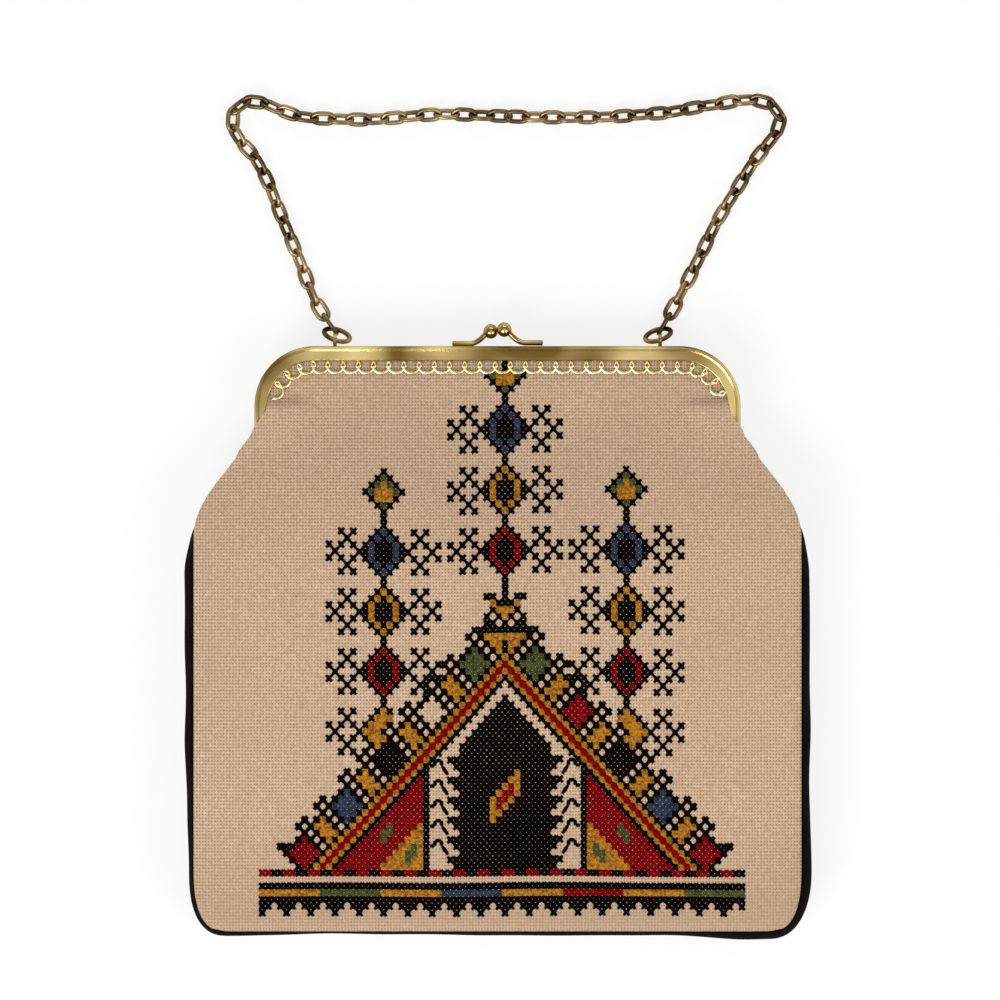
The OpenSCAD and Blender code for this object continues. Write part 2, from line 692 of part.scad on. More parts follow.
module red_corner(s) polygon([cell(s * 13.8, 33.6), cell(s * 13.8, 47), cell(s * 27.2, 47)]);

module stitches_red() {
    color(red_thread) {
        petal(0, 0);
        side_petals(2 * flower_step);
        slope_block(2);
        slope_block(8);
        stripe(5);
        on_cloth(0, 0, 0) linear_extrude(thread_t) {
            chevron(-0.5 + field_gap, 0.5 - field_gap);
            red_corner(-1);
            red_corner(1);
        }
        on_cloth(0, 36, thread_t) linear_extrude(top_thread_t) lozenge(1.6, 6);
        for (k = [0 : tooth_count - 1]) on_cloth(k * tooth_step - border_half, 48, thread_t)
            linear_extrude(top_thread_t) bar([0.5, 0], [2.5, 0], stitch_h * 0.9);
    }
}

module stitches_yellow() {
    color(yellow_thread) {
        petal(0, -flower_step);
        side_petals(flower_step);
        side_petals(3 * flower_step);
        for (s = [-1, 1]) heart(s * column_step, -flower_step);
        heart(0, top_bud_row);
        for (k = [1 : 2 : 7]) slope_block(k);
        for (k = [0 : 2 : 6]) stripe(k);
        on_cloth(0, 0, 0) linear_extrude(thread_t) {
            chevron(-1.5 + field_gap, -0.5);
            chevron(0.5, 1.5 - field_gap);
        }
        for (s = [-1, 1]) on_cloth(0, 0, thread_t) linear_extrude(top_thread_t)
            polygon([cell(s * 14.2, 42), cell(s * 14.2, 46.6), cell(s * 18.8, 46.6)]);
    }
}

module stitches_green() {
    color(green_thread) {
        for (s = [-1, 1]) petal(s * column_step, -flower_step);
        on_cloth(0, top_bud_row, thread_t) linear_extrude(top_thread_t) tucked() ring_of_petals();
        slope_block(0);
        stripe(1);
        stripe(7);
        for (s = [-1, 1]) on_cloth(s * 17.5, 40.2, thread_t)
            linear_extrude(top_thread_t) lozenge(1.6, 2.2);
    }
}

module stitches_blue() {
    color(blue_thread) {
        petal(0, -2 * flower_step);
        side_petals(0);
        slope_block(6);
        stripe(3);
    }
}

front_frame();
back_frame();
front_lace_edge();
back_lace_edge();
left_hinge_rivet();
right_hinge_rivet();
front_clasp_arm();
back_clasp_arm();
left_ear();
right_ear();
left_jump_ring();
right_jump_ring();
handle_chain();
front_panel();
back_panel();
gusset();
lining();
stitches_black();
stitches_red();
stitches_yellow();
stitches_green();
stitches_blue();
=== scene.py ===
"""Dresses the needlepoint purse: evenweave cloth, cross stitches, velvet, satin and brass."""
import math

import bmesh
import bpy
from mathutils import Matrix, Vector, noise


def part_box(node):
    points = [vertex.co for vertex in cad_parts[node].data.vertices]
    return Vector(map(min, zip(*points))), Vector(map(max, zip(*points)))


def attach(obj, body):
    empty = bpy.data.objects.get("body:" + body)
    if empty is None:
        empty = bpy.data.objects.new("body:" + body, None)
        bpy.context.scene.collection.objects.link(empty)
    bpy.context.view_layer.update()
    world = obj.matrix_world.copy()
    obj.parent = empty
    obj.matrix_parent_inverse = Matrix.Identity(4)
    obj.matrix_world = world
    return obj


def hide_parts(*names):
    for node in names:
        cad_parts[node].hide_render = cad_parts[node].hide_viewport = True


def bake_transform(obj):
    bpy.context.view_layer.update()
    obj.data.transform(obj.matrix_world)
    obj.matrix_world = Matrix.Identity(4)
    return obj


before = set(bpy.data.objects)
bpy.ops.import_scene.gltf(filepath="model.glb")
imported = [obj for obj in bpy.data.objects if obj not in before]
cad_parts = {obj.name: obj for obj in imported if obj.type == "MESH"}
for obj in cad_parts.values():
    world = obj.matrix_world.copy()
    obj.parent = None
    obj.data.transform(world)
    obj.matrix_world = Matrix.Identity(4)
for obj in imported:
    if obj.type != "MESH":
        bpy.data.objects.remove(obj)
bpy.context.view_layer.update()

# Sizes are in millimetres and become metres when a piece is finished
MM = 0.001


def cad_corners(node):
    """Lowest and highest corner of a solid, in millimetres."""
    low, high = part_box(node)
    return Vector(low) / MM, Vector(high) / MM


PANEL_LOW, PANEL_HIGH = cad_corners("front_panel")
_, FRAME_HIGH = cad_corners("front_frame")

# Body of the bag
PANEL_HALF = PANEL_HIGH.x
FOOT_DROP = 1.2
PANEL_FOOT = PANEL_LOW.y - FOOT_DROP
CLOTH_Z = PANEL_HIGH.z
CORNER_HIGH = 24
CORNER_START = PANEL_FOOT + CORNER_HIGH
CORNER_IN = 12
CORNER_POWER = 2.6
SHOULDER_Y = 57
SHOULDER_HALF = 91
SHOULDER_POWER = 1.4
ARM_END = 96.5
COVER_END = 111
COVER_HALF = 81
SEAM_DROP = 4
SEAM_Z = CLOTH_Z - SEAM_DROP
ARM_COVER_Z = 23.5
ARM_COVER = 9
ARM_LEAD = 12
ARM_RUN = 10
RIM = 10
FOOT_RIM = 5
RAMP_START = 46
RAMP_END = 112
CLOTH_THICK = 1.2
DOME = 0.8
SWELL_END = 70
SWELL_FADE = 30
# Unevenness of the cloth: size, seed and height
CLOTH_RIPPLES = ((38, 1.7, 0.5), (15, 4.2, 0.12))

# Neck of the cloth behind the frame
NECK_HALF = 86.8
NECK_TOP = PANEL_HIGH.y
NECK_R = 18.8
NECK_Z = 20.3
NECK_BACK_Z = 10.7
NECK_FLAT = 8
NECK_SOFT = 20
NECK_START = 104.5
NECK_FALL = 5
TUCK_LEAD = 1
TUCK_RUN = 3

# Velvet
VELVET_SEAM_Z = 4
NAP_SIZE = 20
NAP_SEED = 7.3
NAP_HIGH = 0.15

# Brass frame, one half on each side of the middle plane
MIDDLE_Z = 15.5
FRAME_HALF = FRAME_HIGH.x
FRAME_TOP = FRAME_HIGH.y
FRAME_R = 22.3
ARM_FOOT = 96.9
FACE_HALF = 85.5
FACE_TOP = 122.2
FACE_R = 17.5
FACE_LAP = 0.2
FACE_Z = FRAME_HIGH.z
HALF_GAP = 0.15
LACE_PITCH = 5.64
LACE_COUNT = 32
LACE_DROP = 5.1
LACE_WIRE = 1.05
LACE_FLAT = 0.4
LACE_SHIFT = -0.92
LACE_DEEP = 1.1
LACE_Z = FACE_Z - LACE_DEEP

# Embroidery, counted from the red flower in the middle column
STITCH_W = 2.245
STITCH_H = 2.486
PATTERN_X = 2.8
PATTERN_Y = 51.9
STITCH_LIFT = 0.06
GRAIN_DRIFT = 1.3
GRAIN_SIZE = 60
GRAIN_SEED = 3.3
LINE_THREAD = 1.45
BAND_THREAD = 1.85
FIELD_THREAD = 1.52
HOOK_THREAD = 1.5
UNDER_HIGH = 0.42
OVER_HIGH = 0.62
HOOK_HIGH = 0.55
THREAD_UNEVEN = 0.16
THREAD_SIZE = 1.7
THREAD_SEED = 5.1
THREAD_DRIFT = Vector((3.1, 2.3))
STRAND_TAPER = 0.35
STRAND_END = 0.35
STITCH_MARGIN = 2
# Long strands along the roof: colour and rows below the red line, to thread width
ROOF_THREADS = {("red", 0): 2.3, ("black", 2): 1.5}
ROOF_STRAND = 0.9
ROOF_HIGH = 0.9
COLUMN_STEP = 20
FLOWER_STEP = 9
GABLE_ROW = 17
BASE_ROW = 47
BORDER_HALF = 40
TOP_BUD_ROW = -26


def mix(a, b, share):
    return a + (b - a) * share


def clamp(share):
    return min(1, max(0, share))


def smooth(share):
    share = clamp(share)
    return share * share * (3 - 2 * share)


def round_up(share):
    """Quarter circle from 0 to 1."""
    return math.sqrt(1 - (1 - clamp(share)) ** 2)


def ripple(x, y, size, seed):
    """Soft unevenness between -1 and 1."""
    return noise.noise(Vector((x / size, y / size, seed)))


def seam_half(y):
    """Half width of the body at a height, from the foot to the arms' ends."""
    if y >= SHOULDER_Y:
        share = clamp((ARM_END - y) / (ARM_END - SHOULDER_Y))
        return mix(SHOULDER_HALF, PANEL_HALF, math.sin(math.pi / 2 * share) ** SHOULDER_POWER)
    if y >= CORNER_START:
        return PANEL_HALF
    drop = clamp((CORNER_START - y) / (CORNER_START - PANEL_FOOT))
    return PANEL_HALF - CORNER_IN * (1 - (1 - drop**CORNER_POWER) ** (1 / CORNER_POWER))


def arch_half(y, half, top, radius):
    """Half width of an arch with round corners at a height."""
    corner = top - radius
    if y <= corner:
        return half
    return half - radius + math.sqrt(max(0, radius**2 - (y - corner) ** 2))


def cloth_half(y):
    """Half width of the panels: in over the frame's arms, along its face, then behind it."""
    if y <= ARM_END:
        return seam_half(y)
    slant = mix(SHOULDER_HALF, COVER_HALF, clamp((y - ARM_END) / (COVER_END - ARM_END)))
    covered = max(slant, arch_half(y, FACE_HALF, FACE_TOP, FACE_R) + FACE_LAP)
    neck = arch_half(y, NECK_HALF, NECK_TOP, NECK_R)
    return mix(covered, neck, smooth((y - COVER_END + TUCK_LEAD) / TUCK_RUN))


def soft_level(x, y, flat, neck, seam, arm):
    """Height of a panel from its flat, neck, seam and arm levels."""
    gap = cloth_half(y) - abs(x)
    level = mix(flat, neck, smooth((y - RAMP_START) / (RAMP_END - RAMP_START)))
    neck_gap = min(gap, NECK_TOP - y)
    necked = mix(neck, level, smooth((neck_gap - NECK_FLAT) / NECK_SOFT))
    edge = mix(seam, arm, smooth((y - SHOULDER_Y) / (ARM_END - SHOULDER_Y)))
    over_arm = smooth((y - ARM_END + ARM_LEAD) / ARM_RUN)
    side_rise = mix(round_up(gap / RIM), smooth((gap - ARM_COVER) / RIM), over_arm)
    foot_rise = round_up((y - PANEL_FOOT) / FOOT_RIM)
    seamed = mix(edge, level, side_rise * foot_rise)
    return mix(seamed, necked, smooth((y - NECK_START) / NECK_FALL))


def cloth_z(x, y):
    """Top of the cream cloth."""
    level = soft_level(x, y, CLOTH_Z - DOME, NECK_Z, SEAM_Z, ARM_COVER_Z)
    inside = clamp((cloth_half(y) - abs(x)) / (2 * RIM)) * clamp((y - PANEL_FOOT) / (3 * FOOT_RIM))
    below_frame = 1 - smooth((y - SWELL_END) / SWELL_FADE)
    swell = DOME * (1 - (x / PANEL_HALF) ** 2)
    for size, seed, high in CLOTH_RIPPLES:
        swell += high * ripple(x, y, size, seed)
    return level + swell * inside * below_frame


def velvet_z(x, y):
    """Outer side of the velvet back."""
    level = soft_level(x, y, 0, NECK_BACK_Z, VELVET_SEAM_Z, 2 * MIDDLE_Z - ARM_COVER_Z)
    return level + abs(ripple(x, y, NAP_SIZE, NAP_SEED)) * NAP_HIGH


# Making pieces


def moved_grid(across, along, place):
    """A grid whose points go to place(u, v), with u and v from 0 to 1."""
    bm = bmesh.new()
    bmesh.ops.create_grid(bm, x_segments=across, y_segments=along, size=0.5)
    for vert in bm.verts:
        vert.co = place(vert.co.x + 0.5, vert.co.y + 0.5)
    return bm


def tube(path, radius, sides, steps, closed=False):
    """A round wire along path(v), with v from 0 to 1."""
    small = 0.001

    def place(u, v):
        here = path(v)
        ahead = path(v + small) if closed or v < 0.5 else here
        behind = here if not closed and v < 0.5 else path(v - small)
        along = (ahead - behind).normalized()
        side = along.cross(Vector((0, 0, 1))).normalized()
        up = side.cross(along)
        turn = 2 * math.pi * u
        return here + (side * math.cos(turn) + up * math.sin(turn)) * radius

    bm = moved_grid(sides, steps, place)
    bmesh.ops.remove_doubles(bm, verts=bm.verts, dist=radius / 100)
    bmesh.ops.recalc_face_normals(bm, faces=bm.faces)
    return bm


def add_copy(target, mesh, matrix):
    """Adds a mesh to a bmesh, moved by a matrix."""
    placed = mesh.copy()
    placed.transform(matrix)
    target.from_mesh(placed)
    bpy.data.meshes.remove(placed)


def as_mesh(bm, name):
    mesh = bpy.data.meshes.new(name)
    bm.to_mesh(mesh)
    bm.free()
    return mesh


def finished(bm, name, finish):
    """Turns a bmesh in millimetres into a smooth piece in metres."""
    bmesh.ops.scale(bm, vec=(MM, MM, MM), verts=bm.verts)
    for face in bm.faces:
        face.smooth = True
    piece = bpy.data.objects.new(name, as_mesh(bm, name))
    piece.data.materials.append(finish)
    bpy.context.scene.collection.objects.link(piece)
    return piece


def rigid_piece(bm, name, finish, node, body):
    """A piece that takes a solid's place and rides on one body."""
    bmesh.ops.recalc_face_normals(bm, faces=bm.faces)
    piece = finished(bm, name, finish)
    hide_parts(node)
    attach(piece, body)


def thicken(piece):
    """Gives a sheet the cloth's thickness, inwards."""
    wall = piece.modifiers.new("thickness", "SOLIDIFY")
    wall.thickness = CLOTH_THICK * MM
    wall.offset = -1


def metres(x, y, z):
    return (x * MM, y * MM, z * MM)


def open_with_frame(piece):
    """Bakes the piece's placement into its mesh."""
    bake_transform(piece)


# Finishes


def linear(red, green, blue):
    """Screen colour from 0 to 255 as a linear colour."""

    def channel(value):
        share = value / 255
        return share / 12.92 if share <= 0.04045 else ((share + 0.055) / 1.055) ** 2.4

    return (channel(red), channel(green), channel(blue), 1)


def fill(node, levels):
    """Sets plain values on a node's own sockets."""
    for label, level in levels.items():
        node.inputs[label].default_value = level


class Nodes:
    """Short calls to add and join shader nodes in one tree."""

    def __init__(self, tree):
        self.tree = tree

    def add(self, kind, **settings):
        node = self.tree.nodes.new(kind)
        for name, value in settings.items():
            setattr(node, name, value)
        return node

    def join(self, source, target):
        self.tree.links.new(source, target)

    def math(self, operation, *values):
        node = self.add("ShaderNodeMath", operation=operation)
        for socket, value in zip(node.inputs, values):
            if isinstance(value, (int, float)):
                socket.default_value = value
            else:
                self.join(value, socket)
        return node.outputs[0]

    def axes(self, source):
        """X, Y and Z of a texture coordinate."""
        split = self.add("ShaderNodeSeparateXYZ")
        self.join(self.add("ShaderNodeTexCoord").outputs[source], split.inputs[0])
        return split.outputs

    def noise(self, scale, detail, position):
        node = self.add("ShaderNodeTexNoise")
        fill(node, {"Scale": scale, "Detail": detail})
        self.join(position, node.inputs["Vector"])
        return node.outputs["Fac"]

    def map(self, value, start, end, low, high):
        """Carries a value from one range to another and stops at both ends."""
        node = self.add("ShaderNodeMapRange")
        fill(node, {"From Min": start, "From Max": end, "To Min": low, "To Max": high})
        self.join(value, node.inputs["Value"])
        return node.outputs["Result"]

    def ramp(self, value, stops):
        node = self.add("ShaderNodeValToRGB")
        elements = node.color_ramp.elements
        while len(elements) < len(stops):
            elements.new(0.5)
        for element, (place, colour) in zip(elements, stops):
            element.position = place
            element.color = colour
        self.join(value, node.inputs["Fac"])
        return node.outputs["Color"]

    def blend(self, share, first, second):
        node = self.add("ShaderNodeMix", data_type="RGBA")
        factor = node.inputs[0]
        colour_a = node.inputs[6]
        colour_b = node.inputs[7]
        for socket, value in ((factor, share), (colour_a, first), (colour_b, second)):
            if isinstance(value, (int, float, tuple)):
                socket.default_value = value
            else:
                self.join(value, socket)
        return node.outputs[2]


def new_group(name, inputs, outputs):
    """A shader node group with named value inputs and outputs."""
    group = bpy.data.node_groups.new(name, "ShaderNodeTree")
    kind = "NodeSocketFloat"
    for label, start in inputs:
        socket = group.interface.new_socket(name=label, in_out="INPUT", socket_type=kind)
        socket.default_value = start
    for label in outputs:
        group.interface.new_socket(name=label, in_out="OUTPUT", socket_type=kind)
    nodes = Nodes(group)
    return group, nodes, nodes.add("NodeGroupInput"), nodes.add("NodeGroupOutput")


def evenweave_group():
    """Threads over and under, with a hole between each four."""
    wander = 0.24
    half_turn = 0.5
    hole_power = 0.55
    over_high = 0.25
    inputs = (("Pitch X", 0.001), ("Pitch Y", 0.001), ("Start X", 0.0), ("Start Y", 0.0))
    group, nodes, given, out = new_group("evenweave", inputs, ("Height", "Hole", "Slub"))
    place = nodes.add("ShaderNodeTexCoord").outputs["Object"]
    axes = nodes.axes("Object")
    wobble = nodes.noise(scale=260, detail=2, position=place)
    waves = []
    for axis, pitch, start in (("X", "Pitch X", "Start X"), ("Y", "Pitch Y", "Start Y")):
        moved = nodes.math("SUBTRACT", axes[axis], given.outputs[start])
        turns = nodes.math("DIVIDE", moved, given.outputs[pitch])
        uneven = nodes.math("MULTIPLY_ADD", wobble, wander, half_turn)
        shifted = nodes.math("ADD", turns, uneven)
        angle = nodes.math("MULTIPLY", shifted, math.pi)
        waves.append(angle)
    cross = nodes.math("MULTIPLY", nodes.math("SINE", waves[0]), nodes.math("SINE", waves[1]))
    warp = nodes.math("ABSOLUTE", nodes.math("SINE", waves[0]))
    weft = nodes.math("ABSOLUTE", nodes.math("SINE", waves[1]))
    over = nodes.math("MULTIPLY_ADD", cross, 0.5, 0.5)
    body = nodes.math("MAXIMUM", warp, weft)
    hole = nodes.math("SUBTRACT", 1.0, nodes.math("POWER", body, hole_power))
    rounded = nodes.math("MULTIPLY", nodes.math("ADD", warp, weft), 0.5)
    raised = nodes.math("ADD", rounded, nodes.math("MULTIPLY", over, over_high))
    nodes.join(raised, out.inputs["Height"])
    nodes.join(hole, out.inputs["Hole"])
    nodes.join(nodes.noise(scale=900, detail=3, position=place), out.inputs["Slub"])
    return group


def wear_and_sheen_group():
    """Blotches and fine grain for cloth, thread and metal: random tone and wear, and painted sheen
    and reflection on the satin and the frame.
    """
    inputs = (("Blotch Scale", 60.0), ("Grain Scale", 900.0))
    group, nodes, given, out = new_group("wear_and_sheen", inputs, ("Blotch", "Grain"))
    place = nodes.add("ShaderNodeTexCoord").outputs["Object"]
    for label, scale in (("Blotch", "Blotch Scale"), ("Grain", "Grain Scale")):
        texture = nodes.add("ShaderNodeTexNoise")
        texture.inputs["Detail"].default_value = 1.5
        nodes.join(given.outputs[scale], texture.inputs["Scale"])
        nodes.join(place, texture.inputs["Vector"])
        nodes.join(texture.outputs["Fac"], out.inputs[label])
    return group


EVENWEAVE = evenweave_group()
WEAR_AND_SHEEN = wear_and_sheen_group()


def new_finish(name):
    material = bpy.data.materials.new(name)
    material.use_nodes = True
    nodes = Nodes(material.node_tree)
    return material, nodes, material.node_tree.nodes["Principled BSDF"]


def worn_and_sheened(nodes, blotch, grain):
    """Blotches and grain from the wear-and-sheen group, at two scales."""
    group = nodes.add("ShaderNodeGroup", node_tree=WEAR_AND_SHEEN)
    fill(group, {"Blotch Scale": blotch, "Grain Scale": grain})
    return group.outputs["Blotch"], group.outputs["Grain"]


def bumped(nodes, shader, height, strength, distance):
    bump = nodes.add("ShaderNodeBump")
    fill(bump, {"Strength": strength, "Distance": distance})
    nodes.join(height, bump.inputs["Height"])
    nodes.join(bump.outputs["Normal"], shader.inputs["Normal"])


# Painted shade: darker cloth towards its foot and its neck: where it starts, where it ends and how
# much
CLOTH_PAINTED_SHADE = ((-45, PANEL_FOOT, 0.5), (40, NECK_TOP, 0.13))
CLOTH_BLOTCH_AND_SHADE = linear(166, 140, 115)
# Painted shade inside the holes of the weave
CLOTH_HOLE_SHADE = linear(104, 74, 50)
CLOTH_THREAD = (
    (0.25, linear(188, 157, 128)),
    (0.55, linear(210, 181, 152)),
    (0.8, linear(228, 203, 176)),
)


def evenweave_finish():
    material, nodes, shader = new_finish("cream_evenweave")
    weave = nodes.add("ShaderNodeGroup", node_tree=EVENWEAVE)
    for axis, pitch, start in (("X", STITCH_W / 2, PATTERN_X), ("Y", STITCH_H / 2, PATTERN_Y)):
        fill(weave, {"Pitch " + axis: pitch * MM, "Start " + axis: (start - pitch) * MM})
    thread = nodes.ramp(weave.outputs["Slub"], CLOTH_THREAD)
    # Painted shade: the holes between the threads take a dark brown that stands for the shade
    # inside them
    dark = nodes.math("MINIMUM", nodes.math("MULTIPLY", weave.outputs["Hole"], 1.5), 0.95)
    colour = nodes.blend(dark, thread, CLOTH_HOLE_SHADE)
    blotch, _ = worn_and_sheened(nodes, blotch=25, grain=900)
    aged = nodes.math("MULTIPLY", nodes.math("SUBTRACT", blotch, 0.45), 0.5)
    height = nodes.axes("Object")["Y"]
    blotch_and_painted_shade = nodes.math("MAXIMUM", aged, 0.0)
    # Painted shade: the cloth darkens towards its foot and its neck, added to its random blotches
    for start, end, share in CLOTH_PAINTED_SHADE:
        painted_shade = nodes.map(height, start * MM, end * MM, 0, share)
        blotch_and_painted_shade = nodes.math("ADD", blotch_and_painted_shade, painted_shade)
    nodes.join(nodes.blend(blotch_and_painted_shade, colour, CLOTH_BLOTCH_AND_SHADE), shader.inputs["Base Color"])
    fill(shader, {"Roughness": 0.9, "Specular IOR Level": 0.2})
    bumped(nodes, shader, weave.outputs["Height"], strength=0.7, distance=0.0005)
    return material


def thread_finish(name, dark, light, shine=0.12):
    material, nodes, shader = new_finish(name)
    blotch, grain = worn_and_sheened(nodes, blotch=950, grain=2400)
    # Fine blotches between dark and light thread: random tone, and partly a painted highlight and
    # shade at the size of the strands
    nodes.join(nodes.ramp(blotch, ((0.32, dark), (0.68, light))), shader.inputs["Base Color"])
    fill(shader, {"Roughness": 0.8, "Specular IOR Level": shine})
    bumped(nodes, shader, grain, strength=0.4, distance=0.0002)
    return material


def velvet_finish():
    material, nodes, shader = new_finish("black_velvet")
    blotch, grain = worn_and_sheened(nodes, blotch=70, grain=1500)
    pile = nodes.ramp(blotch, ((0.3, linear(5, 3, 3)), (0.75, linear(15, 10, 8))))
    nodes.join(pile, shader.inputs["Base Color"])
    fill(shader, {"Roughness": 0.95, "Specular IOR Level": 0.03, "Sheen Weight": 0.025})
    fill(shader, {"Sheen Roughness": 0.4, "Sheen Tint": linear(110, 84, 70)})
    bumped(nodes, shader, grain, strength=0.8, distance=0.0006)
    return material


def satin_finish():
    material, nodes, shader = new_finish("lining_satin")
    blotch, grain = worn_and_sheened(nodes, blotch=40, grain=1200)
    # Painted sheen: lighter and darker patches of satin colour
    painted_sheen = nodes.ramp(blotch, ((0.3, linear(176, 150, 124)), (0.7, linear(204, 180, 152))))
    nodes.join(painted_sheen, shader.inputs["Base Color"])
    fill(shader, {"Roughness": 0.38, "Sheen Weight": 0.2})
    bumped(nodes, shader, grain, strength=0.15, distance=0.0003)
    return material


BRASS_EDGE = linear(134, 106, 54)


def brass_finish(name, dark, light, rough_low, rough_high, wave=0.1, scale=90):
    material, nodes, shader = new_finish(name)
    blotch, grain = worn_and_sheened(nodes, blotch=scale, grain=1400)
    # Blotches between dark and light brass: random tone on the clasp, lace and chain, and painted
    # reflections on the frame
    nodes.join(nodes.ramp(blotch, ((0.42, dark), (0.64, light))), shader.inputs["Base Color"])
    fill(shader, {"Metallic": 1, "Specular Tint": BRASS_EDGE})
    nodes.join(nodes.map(blotch, 0, 1, rough_low, rough_high), shader.inputs["Roughness"])
    uneven = nodes.math("ADD", nodes.math("MULTIPLY", grain, 0.03), blotch)
    bumped(nodes, shader, uneven, strength=wave, distance=0.001)
    return material


CREAM = evenweave_finish()
VELVET = velvet_finish()
SATIN = satin_finish()
# The frame's broad swing from dark brown to pale gold is painted reflection
FRAME_BRASS = brass_finish(
    "frame_brass", linear(128, 100, 46), linear(248, 223, 152), 0.1, 0.2, wave=0.3, scale=30
)
CLASP_BRASS = brass_finish("clasp_brass", linear(168, 140, 83), linear(222, 198, 139), 0.1, 0.18)
LACE_BRASS = brass_finish("lace_brass", linear(240, 214, 140), linear(255, 242, 190), 0.2, 0.32)
CHAIN_BRASS = brass_finish("chain_brass", linear(104, 84, 56), linear(172, 148, 108), 0.24, 0.4)
THREADS = {
    "black": thread_finish("thread_black", linear(3, 1, 1), linear(10, 6, 5), 0.03),
    "red": thread_finish("thread_red", linear(82, 0, 4), linear(134, 2, 10), 0.05),
    "yellow": thread_finish("thread_yellow", linear(110, 66, 8), linear(190, 128, 26)),
    "green": thread_finish("thread_green", linear(36, 43, 20), linear(80, 86, 42)),
    "blue": thread_finish("thread_blue", linear(20, 27, 42), linear(48, 61, 86)),
}


# Cloth pieces


LINING_GAP = 0.5
LINING_DROP = 3


def edge_dense(share):
    """Place across a panel from -1 to 1, with columns that crowd towards both edges."""
    return math.sin((share - 0.5) * math.pi)


def panel_point(height):
    """Lays a grid on a panel with its own height(x, y)."""
    def place(u, v):
        y = mix(PANEL_FOOT, NECK_TOP, v)
        x = edge_dense(u) * cloth_half(y)
        return Vector((x, y, height(x, y)))

    return place


def sheet_area(bm):
    """Area of a sheet in square metres."""
    return sum(face.calc_area() for face in bm.faces) * MM * MM


def panel_area(height, across=60, along=80):
    """Area of a panel, measured on its own grid."""
    bm = moved_grid(across, along, panel_point(height))
    area = sheet_area(bm)
    bm.free()
    return area


def front_cloth():
    bm = moved_grid(140, 180, panel_point(cloth_z))
    piece = finished(bm, "front_cloth", CREAM)
    thicken(piece)
    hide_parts("front_panel")
    open_with_frame(piece)
    area = panel_area(cloth_z)


def velvet_back():
    bm = moved_grid(100, 120, panel_point(velvet_z))
    bmesh.ops.reverse_faces(bm, faces=bm.faces)
    piece = finished(bm, "velvet_back", VELVET)
    thicken(piece)
    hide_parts("back_panel")
    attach(piece, "bag")
    area = panel_area(velvet_z)


# Side strip: it swells between its seams and dies away towards the shoulders
GUSSET_TOP = 91.5
GUSSET_BULGE = 3.6
BULGE_POWER = 0.8
BULGE_LEAD = 14
BULGE_FADE = 24
BULGE_UNEVEN = 0.22
BULGE_SIZE = 22
BULGE_SEED = 2.4
STRIP_WIDE = 30
FOOT_BULGE = 2.0
FOOT_BULGE_HALF = 60
FOOT_BULGE_RUN = 35
CORNER_LEAN = 0.4
LEAN_TOP = -10
LEAN_RUN = 60
LEAN_SIDE = 80
SEAM_GAP = 0.3
SHOULDER_TUCK = 1.5
SHOULDER_TUCK_RUN = 12
BAG_MIDDLE = Vector((0, 20, 0))


def seam_point(u):
    """A point of the seam, from the left shoulder round the foot to the right shoulder."""
    side = 0.4
    crowd = 1.6
    foot_half = seam_half(PANEL_FOOT)
    if u < side or u > 1 - side:
        share = u / side if u < side else (1 - u) / side
        y = mix(PANEL_FOOT, GUSSET_TOP, (1 - share) ** crowd)
        half = seam_half(y)
        return Vector((-half if u < side else half, y, 0))
    share = (u - side) / (1 - 2 * side)
    return Vector((mix(-foot_half, foot_half, share), PANEL_FOOT, 0))


def gusset_point(u, v):
    """A point of the strip between the two seams."""
    small = 0.004
    here = seam_point(u)
    along = seam_point(min(1, u + small)) - seam_point(max(0, u - small))
    out = Vector((along.y, -along.x, 0)).normalized()
    if out.dot(here - BAG_MIDDLE) < 0:
        out = -out
    above = here.y - SHOULDER_Y
    edge = smooth(above / (ARM_END - SHOULDER_Y))
    top = mix(SEAM_Z, ARM_COVER_Z, edge) - SEAM_GAP
    low = mix(VELVET_SEAM_Z, 2 * MIDDLE_Z - ARM_COVER_Z, edge) + SEAM_GAP
    fade = 1 - smooth((above + BULGE_LEAD) / BULGE_FADE)
    uneven = 1 + BULGE_UNEVEN * ripple(here.x + here.y, v * STRIP_WIDE, BULGE_SIZE, BULGE_SEED)
    sideways = smooth((abs(here.x) - FOOT_BULGE_HALF) / FOOT_BULGE_RUN)
    fullness = mix(FOOT_BULGE, GUSSET_BULGE, sideways)
    lean = CORNER_LEAN * smooth((LEAN_TOP - here.y) / LEAN_RUN) * smooth(-here.x / LEAN_SIDE)
    swell = fullness * (1 - lean) * fade * uneven * math.sin(math.pi * v) ** BULGE_POWER
    spot = here + out * (swell - SHOULDER_TUCK * smooth(above / SHOULDER_TUCK_RUN))
    spot.z = mix(low, top, v)
    return spot


def velvet_gusset():
    bm = moved_grid(260, 16, gusset_point)
    bmesh.ops.recalc_face_normals(bm, faces=bm.faces)
    area = sheet_area(bm)
    piece = finished(bm, "velvet_gusset", VELVET)
    thicken(piece)
    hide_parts("gusset")
    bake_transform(piece)


def satin_lining():
    """Two satin sheets inside, the back one on the bag."""
    gap = CLOTH_THICK + LINING_GAP

    def front_inside(x, y):
        return cloth_z(x, y) - gap

    def back_inside(x, y):
        return velvet_z(x, y) + gap

    sheets = (("front_lining", front_inside, True), ("back_lining", back_inside, False))
    for name, height, opens in sheets:
        def place(u, v, height=height):
            y = mix(PANEL_FOOT + gap, NECK_TOP - LINING_DROP, v)
            x = edge_dense(u) * (cloth_half(y) - gap)
            return Vector((x, y, height(x, y)))

        bm = moved_grid(80, 90, place)
        if opens:
            bmesh.ops.reverse_faces(bm, faces=bm.faces)
        area = sheet_area(bm)
        piece = finished(bm, name, SATIN)
        if opens:
            open_with_frame(piece)
            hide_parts("lining")
        else:
            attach(piece, "bag")


# Embroidery


